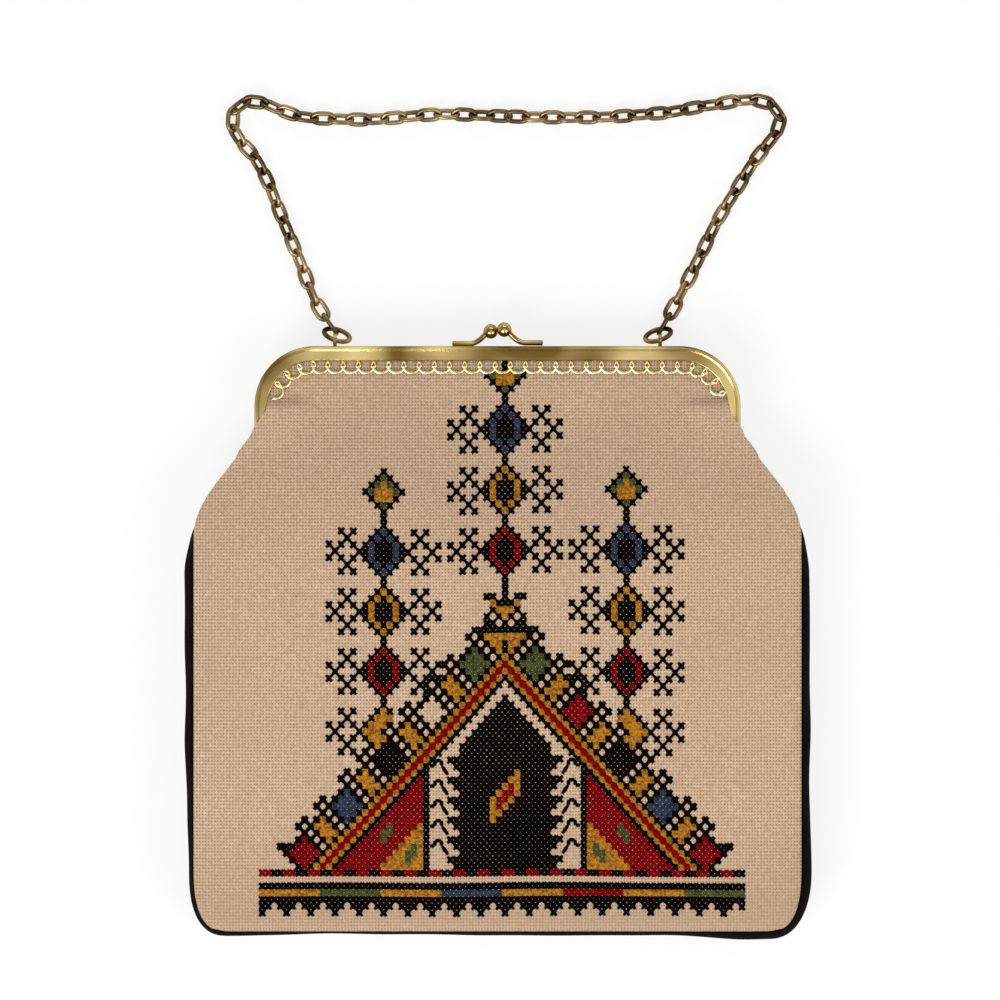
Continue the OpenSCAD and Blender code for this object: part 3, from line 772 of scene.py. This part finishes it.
FLOWER_WIDE = 3
FLOWER_HIGH = 4
STAR_REACH = 3
STAR_STEP = 6


def flower(cells, column, row, ring):
    """Pointed flower: black ground and core, a coloured ring, a star at each side."""
    for c in range(-FLOWER_WIDE, FLOWER_WIDE + 1):
        for r in range(-FLOWER_HIGH, FLOWER_HIGH + 1):
            reach = abs(c) + abs(r)
            if reach > FLOWER_HIGH:
                continue
            on_ring = (reach == FLOWER_WIDE and abs(c) < FLOWER_WIDE) or (abs(c) == 2 and r == 0)
            cells[column + c, row + r] = ring if on_ring else "black"
    for side in (-1, 1):
        star(cells, column + STAR_STEP * side, row, side)


def star(cells, column, row, side):
    """Stitches round an open middle, with two tips on each side but the flower's."""
    for c in range(-STAR_REACH, STAR_REACH + 1):
        for r in range(-STAR_REACH, STAR_REACH + 1):
            reach = abs(c) + abs(r)
            inner_tip = c == -STAR_REACH * side
            if inner_tip or reach not in (2, 4) or (abs(c) == 2 and abs(r) == 2):
                continue
            cells[column + c, row + r] = "black"


BUD_REACH = 3


def bud(cells, column, row, first=-BUD_REACH):
    """Small bud: black outline, green corners and yellow heart, from its first row down."""
    for c in range(-BUD_REACH, BUD_REACH + 1):
        for r in range(first, BUD_REACH + 1):
            reach = abs(c) + abs(r)
            if reach > BUD_REACH:
                continue
            heart = (abs(c) <= 1 and 0 <= r <= 1) or (c == 0 and r == -1)
            outline = reach == BUD_REACH
            cells[column + c, row + r] = "yellow" if heart else "black" if outline else "green"


def half_bud(cells, column, row, side):
    """Yellow bud that grows out of the gable's slope."""
    for out in range(-1, BUD_REACH + 2):
        for r in range(-BUD_REACH - 1, BUD_REACH + 2):
            reach = abs(out) + abs(r)
            if reach <= BUD_REACH + 1:
                cells[column + side * out, row + r] = "yellow" if reach <= BUD_REACH else "black"


def stem(cells, column, first, last):
    for row in range(first, last + 1):
        cells.setdefault((column, row), "black")


# Wide blocks from the crown down each slope, with a narrow yellow one after each
WIDE_BLOCKS = ("green", "red", "black", "blue", "red")
BARE_BLOCK = 1
FIRST_DOTS = 18
BAND_STEP = 14
DOT_PARTS = (0, 8)
WIDE_PARTS = range(2, 7)
NARROW_PARTS = range(10, 13)
BLOCK_REACH = 7
DOT_REACH = 9
TOP_BLOCK_ROW = 13


def slope_colour(c, r):
    """Colour of the stepped band outside the gable line: bare is open cloth, None is beyond it."""
    out = GABLE_ROW + abs(c) - r
    along = abs(c) + r - FIRST_DOTS
    if along < 0:
        return top_block_colour(abs(c), r)
    block, part = divmod(along, BAND_STEP)
    end = block == len(WIDE_BLOCKS) - 1 and part > WIDE_PARTS.stop
    in_block = part in WIDE_PARTS or part in NARROW_PARTS
    reach = BLOCK_REACH if in_block else DOT_REACH
    if end or block >= len(WIDE_BLOCKS) or out > reach + 1:
        return None
    if out == 2 or out > reach or (not in_block and part not in DOT_PARTS):
        return "black"
    if part in NARROW_PARTS:
        return "yellow"
    bare = part in DOT_PARTS or (block == BARE_BLOCK and c < 0)
    return "bare" if bare else WIDE_BLOCKS[block]


def top_block_colour(column, row):
    """Two yellow triangles side by side under the crown."""
    if row < TOP_BLOCK_ROW:
        return None
    yellow = column + row < GABLE_ROW and (column > 0 or row == TOP_BLOCK_ROW)
    return "yellow" if yellow else "black"


def gable(cells):
    """Pointed gable with its stepped band, roof lines, niche and pillars."""
    for c in range(-BORDER_HALF, BORDER_HALF + 1):
        for r in range(GABLE_ROW - DOT_REACH, BASE_ROW + 1):
            below = r - GABLE_ROW - abs(c)
            if below < -1:
                colour = slope_colour(c, r)
            elif below <= 1:
                colour = "red" if below == 0 else "yellow"
            elif below == 2:
                colour = "black"
            else:
                colour = inside_gable(c, r)
            if colour == "bare":
                cells.pop((c, r), None)
            elif colour:
                cells[c, r] = colour


NICHE_TOP = 22
NICHE_HALF = 8
PILLAR_END = 13
PILLAR_TOP = NICHE_TOP + NICHE_HALF + 1
PILLAR_STEP = 3


def inside_gable(c, row):
    """Niche in the middle, pillars of steps, and a red field at each side."""
    column = abs(c)
    if column > PILLAR_END:
        return red_field(column, row)
    if column == PILLAR_END:
        return "black"
    tooth = (2, 1, 0)[(row - PILLAR_TOP) % PILLAR_STEP] if row >= PILLAR_TOP else 0
    if column <= min(row - NICHE_TOP, NICHE_HALF - 1 + tooth):
        return niche_colour(c, row)
    return "bare"


CORNER_REACH = 6
CORNER_LEAF = (15.5, 45)
FIELD_LEAF = (19.5, 42)


def in_leaf(column, row, middle):
    """True inside a slim slanted leaf around its middle."""
    across = column - middle[0]
    down = row - middle[1]
    return abs(down) <= 1 and abs(2 * across - down) <= 1


def red_field(column, row):
    """Red with a green leaf, and a yellow corner with another."""
    corner = column - PILLAR_END - 1 + BASE_ROW - row
    leaf, ground = (CORNER_LEAF, "yellow") if corner <= CORNER_REACH else (FIELD_LEAF, "red")
    return "green" if in_leaf(column, row, leaf) else ground


LOZENGE_ROW = 36.5
LOZENGE_SLANT = 0.87
# Each colour with the columns and rows that it reaches from the middle
LOZENGE = (("red", 1, 1.3), ("yellow", 2, 2.2))


def niche_colour(c, row):
    """Slanted red lozenge edged with yellow in the black niche."""
    from_middle = abs(row - LOZENGE_ROW + LOZENGE_SLANT * c)
    for colour, wide, high in LOZENGE:
        if abs(c) <= wide and from_middle <= high:
            return colour
    return "black"


CROWN_HALF = 5
CROWN_TOP = 7
TIP_ROW = 8
WEDGE_ROW = 9
STEP_ROW = 10
CROWN_FOOT = 12


def crown(cells):
    """Two horns with yellow tips over a wedge, and a stepped foot above the gable's point."""
    for c in range(-CROWN_HALF, CROWN_HALF + 1):
        column = abs(c)
        for row in range(CROWN_TOP, CROWN_FOOT + 1):
            on_foot = row >= STEP_ROW
            wedge = WEDGE_ROW <= row <= STEP_ROW and column <= STEP_ROW - row
            tip = row == TIP_ROW and column == 2
            dot = on_foot and column == CROWN_FOOT - row and column > 0
            horn = row == CROWN_TOP and column in (2, 3)
            neck = CROWN_TOP < row < STEP_ROW and column <= 2
            foot = (on_foot and column <= 3) or row == CROWN_FOOT
            if wedge or tip:
                cells[c, row] = "yellow"
            elif (horn or neck or foot) and not dot:
                cells[c, row] = "black"


def border(cells):
    """Rows under the gable: beads, a coloured stripe and a row of teeth."""
    colours = ("yellow", "green", "yellow", "blue", "yellow", "red", "yellow", "green")
    segment = 10
    repeat = 4
    bead_row = BASE_ROW + 1
    for c in range(-BORDER_HALF, BORDER_HALF):
        place = c + BORDER_HALF
        part = place % repeat
        cells[c, bead_row] = "red" if part < repeat // 2 else "black"
        cells[c, bead_row + 2] = "black"
        cells[c, bead_row + 3] = colours[place // segment]
        cells[c, bead_row + 4] = "black"
        if part != repeat // 2:
            cells[c, bead_row + 5] = "black"
        if part == 0:
            cells[c, bead_row + 6] = "black"


HORN_COLUMN = 36
HORN_ROW = 44


def embroidery():
    """Every stitch of the pattern as column and row to colour."""
    cells = {}
    foot_row = 3 * FLOWER_STEP
    for side in (-1, 1):
        column = side * COLUMN_STEP
        for k, ring in enumerate(("blue", "yellow", "red")):
            flower(cells, column, FLOWER_STEP * k, ring)
        star(cells, column + side * STAR_STEP, foot_row, side)
        bud(cells, column, -FLOWER_STEP)
        stem(cells, column, -FLOWER_STEP, foot_row)
        half_bud(cells, column, foot_row, side)
    for k, ring in enumerate(("red", "yellow", "blue")):
        flower(cells, 0, -FLOWER_STEP * k, ring)
    bud(cells, 0, TOP_BUD_ROW, first=0)
    stem(cells, 0, TOP_BUD_ROW - BUD_REACH, CROWN_TOP)
    gable(cells)
    crown(cells)
    for side in (-1, 1):
        cells[side * HORN_COLUMN, HORN_ROW] = "black"
    border(cells)
    return cells


def hook_lines():
    """Thin back stitches that draw a hook at the top of each step in the pillars."""
    hook = ((12.4, 0.9), (11.6, 0.9), (11.5, 0.1), (10.5, 0.1), (10.4, 0.9), (9.4, 2.2))
    lines = []
    for row in range(PILLAR_TOP + 1, BASE_ROW - 1, PILLAR_STEP):
        for side in (-1, 1):
            for first, last in zip(hook, hook[1:]):
                ends = [(side * column, row - 1 + drop) for column, drop in (first, last)]
                lines.append(ends)
    return lines


def stroke_mesh():
    """One strand of a stitch: a short arched ribbon along X."""
    def place(u, v):
        taper = 1 - STRAND_TAPER * abs(2 * u - 1) ** 2
        arch = 1 - abs(2 * u - 1) ** 3
        round_top = 1 - (2 * v - 1) ** 2
        return Vector((u - 0.5, (v - 0.5) * taper, round_top * mix(STRAND_END, 1, arch)))

    return as_mesh(moved_grid(4, 3, place), "stroke")


def stitch_matrix(start, end, width, height):
    """Places a strand between two points on the cloth."""
    along = end - start
    side = Vector((0, 0, 1)).cross(along).normalized()
    up = along.cross(side).normalized()
    turn = Matrix((along, side * width, up * height)).transposed().to_4x4()
    return Matrix.Translation((start + end) / 2) @ turn


def on_cloth(column, row):
    """The spot of a stitch on the cloth, with the weave's slow drift."""
    x = PATTERN_X + column * STITCH_W
    y = PATTERN_Y - row * STITCH_H
    y += GRAIN_DRIFT * ripple(x, y, GRAIN_SIZE, GRAIN_SEED)
    return Vector((x, y, cloth_z(x, y) + STITCH_LIFT))


def thread_width(cells, column, row):
    """Fields and the stepped band have fuller threads than single lines."""
    thread = cells[column, row]
    beside = ((column + 1, row), (column - 1, row), (column, row + 1), (column, row - 1))
    filled = sum(spot in cells for spot in beside)
    out = GABLE_ROW + abs(column) - row
    beside_roof = thread == "yellow" and abs(out) == 1
    in_band = 1 < out <= DOT_REACH + 1 and TOP_BLOCK_ROW <= row <= BASE_ROW
    if filled >= 3 or beside_roof:
        return FIELD_THREAD
    return BAND_THREAD if thread == "black" and in_band else LINE_THREAD


def cross_stitch(bm, stroke, column, row, width):
    """Two crossing strands, the second over the first."""
    for first, height in ((1, UNDER_HIGH), (-1, OVER_HIGH)):
        start = on_cloth(column - 0.5, row + 0.5 * first)
        end = on_cloth(column + 0.5, row - 0.5 * first)
        drift = (column * THREAD_DRIFT.x, row * THREAD_DRIFT.y + first)
        uneven = 1 + THREAD_UNEVEN * ripple(*drift, THREAD_SIZE, THREAD_SEED)
        add_copy(bm, stroke, stitch_matrix(start, end, width * uneven, height))


def roof_strand(bm, stroke, column, row, width):
    """A long strand that follows the slope of the roof."""
    slope = math.copysign(ROOF_STRAND, column)
    start = on_cloth(column - slope, row - ROOF_STRAND)
    end = on_cloth(column + slope, row + ROOF_STRAND)
    add_copy(bm, stroke, stitch_matrix(start, end, width, ROOF_HIGH))


def stitches():
    """One piece for each colour of thread."""
    stroke = stroke_mesh()
    cells = embroidery()
    for colour, finish in THREADS.items():
        bm = bmesh.new()
        for (column, row), thread in cells.items():
            if thread != colour or PATTERN_Y - row * STITCH_H > NECK_TOP - STITCH_MARGIN:
                continue
            cross_stitch(bm, stroke, column, row, thread_width(cells, column, row))
            roof_width = ROOF_THREADS.get((thread, row - GABLE_ROW - abs(column)))
            if roof_width and column and row < BASE_ROW:
                roof_strand(bm, stroke, column, row, roof_width)
        if colour == "black":
            for first, last in hook_lines():
                hook = stitch_matrix(on_cloth(*first), on_cloth(*last), HOOK_THREAD, HOOK_HIGH)
                add_copy(bm, stroke, hook)
        piece = finished(bm, "stitches_" + colour + "_thread", finish)
        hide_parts("stitches_" + colour)
        open_with_frame(piece)


# Brass


def arch_point(u, half, top, radius):
    """A point of an arch from the left foot over the top to the right foot."""
    arm = 0.08
    turn = 0.3
    side = -1 if u < 0.5 else 1
    share = u if u < 0.5 else 1 - u
    if share < arm:
        return Vector((side * half, mix(ARM_FOOT, top - radius, share / arm), 0))
    if share < turn:
        angle = math.pi / 2 * (share - arm) / (turn - arm)
        x = half - radius + radius * math.cos(angle)
        y = top - radius + radius * math.sin(angle)
        return Vector((side * x, y, 0))
    return Vector((side * (half - radius) * (0.5 - share) / (0.5 - turn), top, 0))


# Section of a frame half: share of the face's width, offset from there, height over the wall
FRAME_SECTION = (
    (0, 0, 0),
    (0, 0, 5.2),
    (0, 0.08, 5.55),
    (0, 0.3, 5.98),
    (0, 0.55, 6.4),
    (0, 0.75, 6.68),
    (0, 0.92, 6.8),
    (0, 1.08, 6.82),
    (0, 1.2, 6.8),
    (0, 1.85, 6.58),
    (0, 2.0, 6.55),
    (0, 2.15, 6.54),
    (0.5, 0.75, 6.5),
    (1, -0.3, 6.46),
    (1, -0.12, 6.4),
    (1, 0, 6.2),
    (1, 0, 5.8),
    (0, 1.3, 5.4),
    (0, 0.8, 4.9),
    (0, 0.8, 0),
)


def frame_half(name, node, body, facing):
    """One half of the frame: a rolled edge, a flat face and a wall."""
    count = len(FRAME_SECTION)
    weld = 0.001

    def place(u, v):
        share, offset, height = FRAME_SECTION[round(v * count) % count]
        outer = arch_point(u, FRAME_HALF, FRAME_TOP, FRAME_R)
        inner = arch_point(u, FACE_HALF, FACE_TOP, FACE_R)
        inward = inner - outer
        width = inward.length
        spot = outer + inward * ((share * width + offset) / width)
        spot.z = MIDDLE_Z + facing * (HALF_GAP + height)
        return spot

    bm = moved_grid(150, count, place)
    bmesh.ops.remove_doubles(bm, verts=bm.verts, dist=weld)
    bmesh.ops.holes_fill(bm, edges=bm.edges)
    rigid_piece(bm, name, FRAME_BRASS, node, body)


def lace_place(distance):
    """Point and turn on the face's inner edge, at a distance from its middle."""
    straight = FACE_HALF - FACE_R
    side = -1 if distance < 0 else 1
    far = abs(distance)
    if far <= straight:
        return Vector((distance, FACE_TOP, 0)), 0
    angle = (far - straight) / FACE_R
    x = straight + FACE_R * math.sin(angle)
    y = FACE_TOP - FACE_R + FACE_R * math.cos(angle)
    return Vector((side * x, y, 0)), -side * angle


def scallop_mesh():
    """One scallop of flat wire with an eyelet at its side."""
    half = LACE_PITCH / 2
    top = -2.0
    depth = LACE_DROP - LACE_WIRE / 2 + top
    eyelet_y = -1.4
    eyelet_high = 1.05
    eyelet_wide = 0.68
    eyelet_pinch = 0.2
    eyelet_lift = 0.15
    eyelet_wire = LACE_WIRE * 0.38

    def bow(v):
        angle = math.pi * v
        return Vector((-half * math.cos(angle), top - depth * math.sin(angle), 0))

    def eyelet(v):
        angle = 2 * math.pi * v
        x = half + (eyelet_wide - eyelet_pinch * math.sin(angle)) * math.cos(angle)
        return Vector((x, eyelet_y + eyelet_high * math.sin(angle), eyelet_lift))

    bm = tube(bow, LACE_WIRE / 2, sides=8, steps=24)
    ring = as_mesh(tube(eyelet, eyelet_wire, sides=8, steps=16, closed=True), "eyelet")
    add_copy(bm, ring, Matrix.Identity(4))
    bmesh.ops.scale(bm, vec=(1, 1, LACE_FLAT), verts=bm.verts)
    return as_mesh(bm, "scallop")


def lace_edge(name, node, body, facing):
    """The row of scallops under the face of one half."""
    scallop = scallop_mesh()
    bm = bmesh.new()
    for k in range(LACE_COUNT):
        spot, turn = lace_place((k - (LACE_COUNT - 1) / 2) * LACE_PITCH + LACE_SHIFT)
        spot.z = MIDDLE_Z + facing * (LACE_Z - MIDDLE_Z)
        add_copy(bm, scallop, Matrix.Translation(spot) @ Matrix.Rotation(turn, 4, "Z"))
    rigid_piece(bm, name, LACE_BRASS, node, body)


CLASP_FOOT = 16.4
CLASP_BALL_X = 2.5
CLASP_BALL_Y = 133.5
CLASP_BALL_R = 2.72
CLASP_ROD_R = 0.98
CLASP_SIDE = 1.4
CLASP_TILT = 0.3
BEND_START = 10.5
BEND_RUN = 6.5
BEND_RISE = 4.2
COLLAR_R = CLASP_ROD_R * 1.12
COLLAR_FLAT = 0.45


def clasp_arm(name, node, body, side):
    """Half of the kiss lock: a bent rod on the frame's top with a ball at its end."""
    rod_y = FRAME_TOP + CLASP_ROD_R + CLASP_TILT * max(0, side)
    ball_y = CLASP_BALL_Y + CLASP_TILT * side
    height = MIDDLE_Z + side * CLASP_SIDE

    def rod(v):
        x = mix(CLASP_FOOT, BEND_START - BEND_RUN, v)
        bend = max(0, BEND_START - x) / BEND_RUN
        return Vector((side * x, rod_y + BEND_RISE * bend**2, height))

    bm = tube(rod, CLASP_ROD_R, sides=14, steps=40)
    bmesh.ops.holes_fill(bm, edges=bm.edges)
    ball = bmesh.new()
    bmesh.ops.create_uvsphere(ball, u_segments=28, v_segments=18, radius=CLASP_BALL_R)
    add_copy(bm, as_mesh(ball, "ball"), Matrix.Translation((side * CLASP_BALL_X, ball_y, height)))
    collar = bmesh.new()
    bmesh.ops.create_uvsphere(collar, u_segments=20, v_segments=12, radius=COLLAR_R)
    flat = Matrix.Diagonal((COLLAR_FLAT, 1, 1, 1))
    rod_end = Matrix.Translation((side * CLASP_FOOT, rod_y, height))
    add_copy(bm, as_mesh(collar, "collar"), rod_end @ flat)
    rigid_piece(bm, name, CLASP_BRASS, node, body)


# The chain's route over the table, measured from each ear
EAR_X = 60.5
EAR_Y = 130
LEFT_ROUTE = (
    (-7.6, 14.8), (-11.8, 25.9), (-16.3, 37), (-20.9, 48.2), (-25.2, 59.3), (-30.5, 69),
    (-36.4, 75.6), (-39, 82.4), (-36, 88.4), (-29, 89.4), (-20.9, 86.2), (-12, 83.4), (-0.5, 82.8),
)
MIDDLE_ROUTE = ((-46, 82.6), (-23, 84.5), (-8, 84.2), (12, 83.5), (38, 83.4))
RIGHT_ROUTE = (
    (-5.5, 84.5), (5.5, 85.4), (12.5, 87), (21.5, 88.2), (28.5, 89.6), (35, 90), (41.2, 88.6),
    (45.2, 84.2), (44.4, 78.8), (40, 73), (35.2, 66.8), (30.4, 59.3), (26.7, 53), (23, 47.4),
    (19.5, 40.8), (15.2, 31.6), (11.3, 24), (7.5, 16.4),
)
# Where the end links hold the rings
HOLD_X = EAR_X + 0.13
HOLD_Y = EAR_Y + 3.43
HOLD_Z = 3.3
CHAIN_Z = 2.5
RISE_RUN = 30
LINK_COUNT = 60
LINK_WIRE = 1.75
LINK_LONG = 8.4
LINK_WIDE = 4.25
LINK_EASE = 0.35
FLAT_ROLL = 33
STEEP_ROLL = -50
TURNED_LINKS = 4
LINK_LOOSE = 7
LOOSE_DRIFT = 3.7
LOOSE_SIZE = 2.3
LOOSE_SEED = 9.1
RING_SWELL = 0.15
SOLID_WELD = 0.01


def chain_route():
    """The route's points from ring to ring, rising a little towards the rings."""
    points = [Vector((-HOLD_X, HOLD_Y, HOLD_Z))]
    for start, route in ((-EAR_X, LEFT_ROUTE), (0, MIDDLE_ROUTE), (EAR_X, RIGHT_ROUTE)):
        for x, y in route:
            rise = max(0, 1 - y / RISE_RUN)
            points.append(Vector((start + x, EAR_Y + y, CHAIN_Z + rise)))
    points.append(Vector((HOLD_X, HOLD_Y, HOLD_Z)))
    return points


def smooth_route(points, fine=10):
    """Closely spaced points on a smooth curve through the route."""
    last = len(points) - 1
    curve = []
    for k in range(last):
        p, q, r, s = points[max(0, k - 1)], points[k], points[k + 1], points[min(last, k + 2)]
        bend = 2 * p - 5 * q + 4 * r - s
        twist = 3 * q - p - 3 * r + s
        for step in range(fine):
            t = step / fine
            curve.append(0.5 * (2 * q + (r - p) * t + bend * t**2 + twist * t**3))
    curve.append(points[last])
    return curve


def even_points(curve, count):
    """Points at equal steps along a curve."""
    reached = [0]
    for first, second in zip(curve, curve[1:]):
        reached.append(reached[-1] + (second - first).length)
    spots = []
    k = 0
    for step in range(count + 1):
        goal = reached[-1] * step / count
        while k < len(curve) - 2 and reached[k + 1] < goal:
            k += 1
        share = (goal - reached[k]) / (reached[k + 1] - reached[k])
        spots.append(curve[k].lerp(curve[k + 1], share))
    return spots


def link_mesh():
    """One oval link in the XY plane."""
    straight = (LINK_LONG - LINK_WIDE) / 2

    def oval(v):
        angle = 2 * math.pi * v
        side = math.copysign(1, math.cos(angle))
        ease = abs(math.cos(angle)) ** LINK_EASE
        x = side * straight * ease + LINK_WIDE / 2 * math.cos(angle)
        return Vector((x, LINK_WIDE / 2 * math.sin(angle), 0))

    return as_mesh(tube(oval, LINK_WIRE / 2, sides=10, steps=36, closed=True), "link")


def link_roll(k):
    """How far a link is rolled: flat and steep in turn, upright next to a ring."""
    from_end = min(k, LINK_COUNT - 1 - k)
    flat = from_end % 2 == 1
    base = FLAT_ROLL if flat else STEEP_ROLL
    upright = 0 if flat else -90
    turned = clamp(1 - from_end / TURNED_LINKS)
    loose = LINK_LOOSE * ripple(k * LOOSE_DRIFT, 0, LOOSE_SIZE, LOOSE_SEED)
    return mix(base, upright, turned) + loose


def handle_chain():
    link = link_mesh()
    spots = even_points(smooth_route(chain_route()), LINK_COUNT)
    bm = bmesh.new()
    for k, (start, end) in enumerate(zip(spots, spots[1:])):
        along = (end - start).normalized()
        turn = along.to_track_quat("X", "Z").to_matrix().to_4x4()
        roll = Matrix.Rotation(math.radians(link_roll(k)), 4, "X")
        add_copy(bm, link, Matrix.Translation((start + end) / 2) @ turn @ roll)
    rigid_piece(bm, "brass_chain", CHAIN_BRASS, "handle_chain", "handle")


def brass_fittings():
    """Rivets, ears and rings keep their solids, smoothed."""
    frame_nodes = ("left_hinge_rivet", "right_hinge_rivet", "left_ear", "right_ear")
    chain_nodes = ("left_jump_ring", "right_jump_ring")
    for nodes, finish in ((frame_nodes, CLASP_BRASS), (chain_nodes, CHAIN_BRASS)):
        for name in nodes:
            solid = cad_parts[name]
            solid.data.materials.clear()
            solid.data.materials.append(finish)
            weld = solid.modifiers.new("weld", "WELD")
            weld.merge_threshold = SOLID_WELD * MM
            for face in solid.data.polygons:
                face.use_smooth = True
            if name in chain_nodes:
                swell = solid.modifiers.new("swell", "DISPLACE")
                swell.strength = RING_SWELL * MM
                swell.mid_level = 0


# Stage, light and camera


def floor():
    """Pale ground that shows bright to the camera and keeps the shadow."""
    half = 3000
    gap = 0.3
    white = 0.95
    glow_share = 0.8
    bm = bmesh.new()
    bmesh.ops.create_grid(bm, x_segments=1, y_segments=1, size=half * MM)
    bmesh.ops.translate(bm, vec=metres(0, 0, -gap), verts=bm.verts)
    ground = bpy.data.objects.new("floor", as_mesh(bm, "floor"))
    material, nodes, diffuse = new_finish("pale_floor")
    fill(diffuse, {"Base Color": (white, white, white, 1), "Roughness": 1, "Specular IOR Level": 0})
    glow = nodes.add("ShaderNodeEmission")
    rays = nodes.add("ShaderNodeLightPath")
    seen = nodes.math("ADD", rays.outputs["Is Camera Ray"], rays.outputs["Is Glossy Ray"])
    seen = nodes.math("ADD", seen, rays.outputs["Is Transmission Ray"])
    share = nodes.math("MULTIPLY", nodes.math("MINIMUM", seen, 1.0), glow_share)
    both = nodes.add("ShaderNodeMixShader")
    nodes.join(share, both.inputs[0])
    nodes.join(diffuse.outputs[0], both.inputs[1])
    nodes.join(glow.outputs[0], both.inputs[2])
    nodes.join(both.outputs[0], material.node_tree.nodes["Material Output"].inputs["Surface"])
    ground.data.materials.append(material)
    bpy.context.scene.collection.objects.link(ground)


def soft_box(name, place, aim, size, power):
    """A rectangular lamp, placed in metres."""
    light = bpy.data.lights.new(name, "AREA")
    light.shape = "RECTANGLE"
    light.size = size[0]
    light.size_y = size[1]
    light.energy = power
    lamp = bpy.data.objects.new(name, light)
    lamp.location = place
    lamp.rotation_euler = (Vector(aim) - Vector(place)).to_track_quat("-Z", "Y").to_euler()
    bpy.context.scene.collection.objects.link(lamp)


def studio_light():
    world = bpy.data.worlds.new("studio")
    world.use_nodes = True
    bpy.context.scene.world = world
    nodes = Nodes(world.node_tree)
    sky = world.node_tree.nodes["Background"]
    tones = (
        (0.0, (0.9, 0.9, 0.9, 1)),
        (0.4, (0.5, 0.49, 0.48, 1)),
        (0.84, (0.2, 0.19, 0.18, 1)),
        (0.96, (1, 0.99, 0.97, 1)),
    )
    nodes.join(nodes.ramp(nodes.axes("Generated")["Z"], tones), sky.inputs["Color"])
    sky.inputs["Strength"].default_value = 0.8
    middle = (0, 0.05, 0.02)
    soft_box("key", (-0.65, -0.8, 1.35), middle, (0.9, 0.9), 18)
    soft_box("fill", (0.85, -0.6, 1.15), middle, (0.9, 0.9), 8)
    soft_box("rim", (0.1, 1.3, 0.8), middle, (1.2, 0.5), 4)


def camera():
    """Looks straight down on the purse from afar."""
    lens = 300
    sensor = 36
    frame_width = 371
    seen_z = 22
    view_x = 0.93
    view_y = 70.5
    look = bpy.data.cameras.new("camera")
    look.lens = lens
    look.sensor_width = sensor
    look.clip_end = 20
    eye = bpy.data.objects.new("camera", look)
    eye.location = metres(view_x, view_y, seen_z + frame_width * lens / sensor)
    bpy.context.scene.collection.objects.link(eye)
    bpy.context.scene.camera = eye


camera()
floor()
studio_light()
front_cloth()
velvet_back()
velvet_gusset()
satin_lining()
stitches()
frame_half("front_brass", "front_frame", "front_clasp", 1)
frame_half("back_brass", "back_frame", "bag", -1)
lace_edge("front_lace", "front_lace_edge", "front_clasp", 1)
lace_edge("back_lace", "back_lace_edge", "bag", -1)
clasp_arm("front_clasp_rod", "front_clasp_arm", "front_clasp", 1)
clasp_arm("back_clasp_rod", "back_clasp_arm", "bag", -1)
handle_chain()
brass_fittings()

bpy.context.scene.view_settings.view_transform = "Standard"
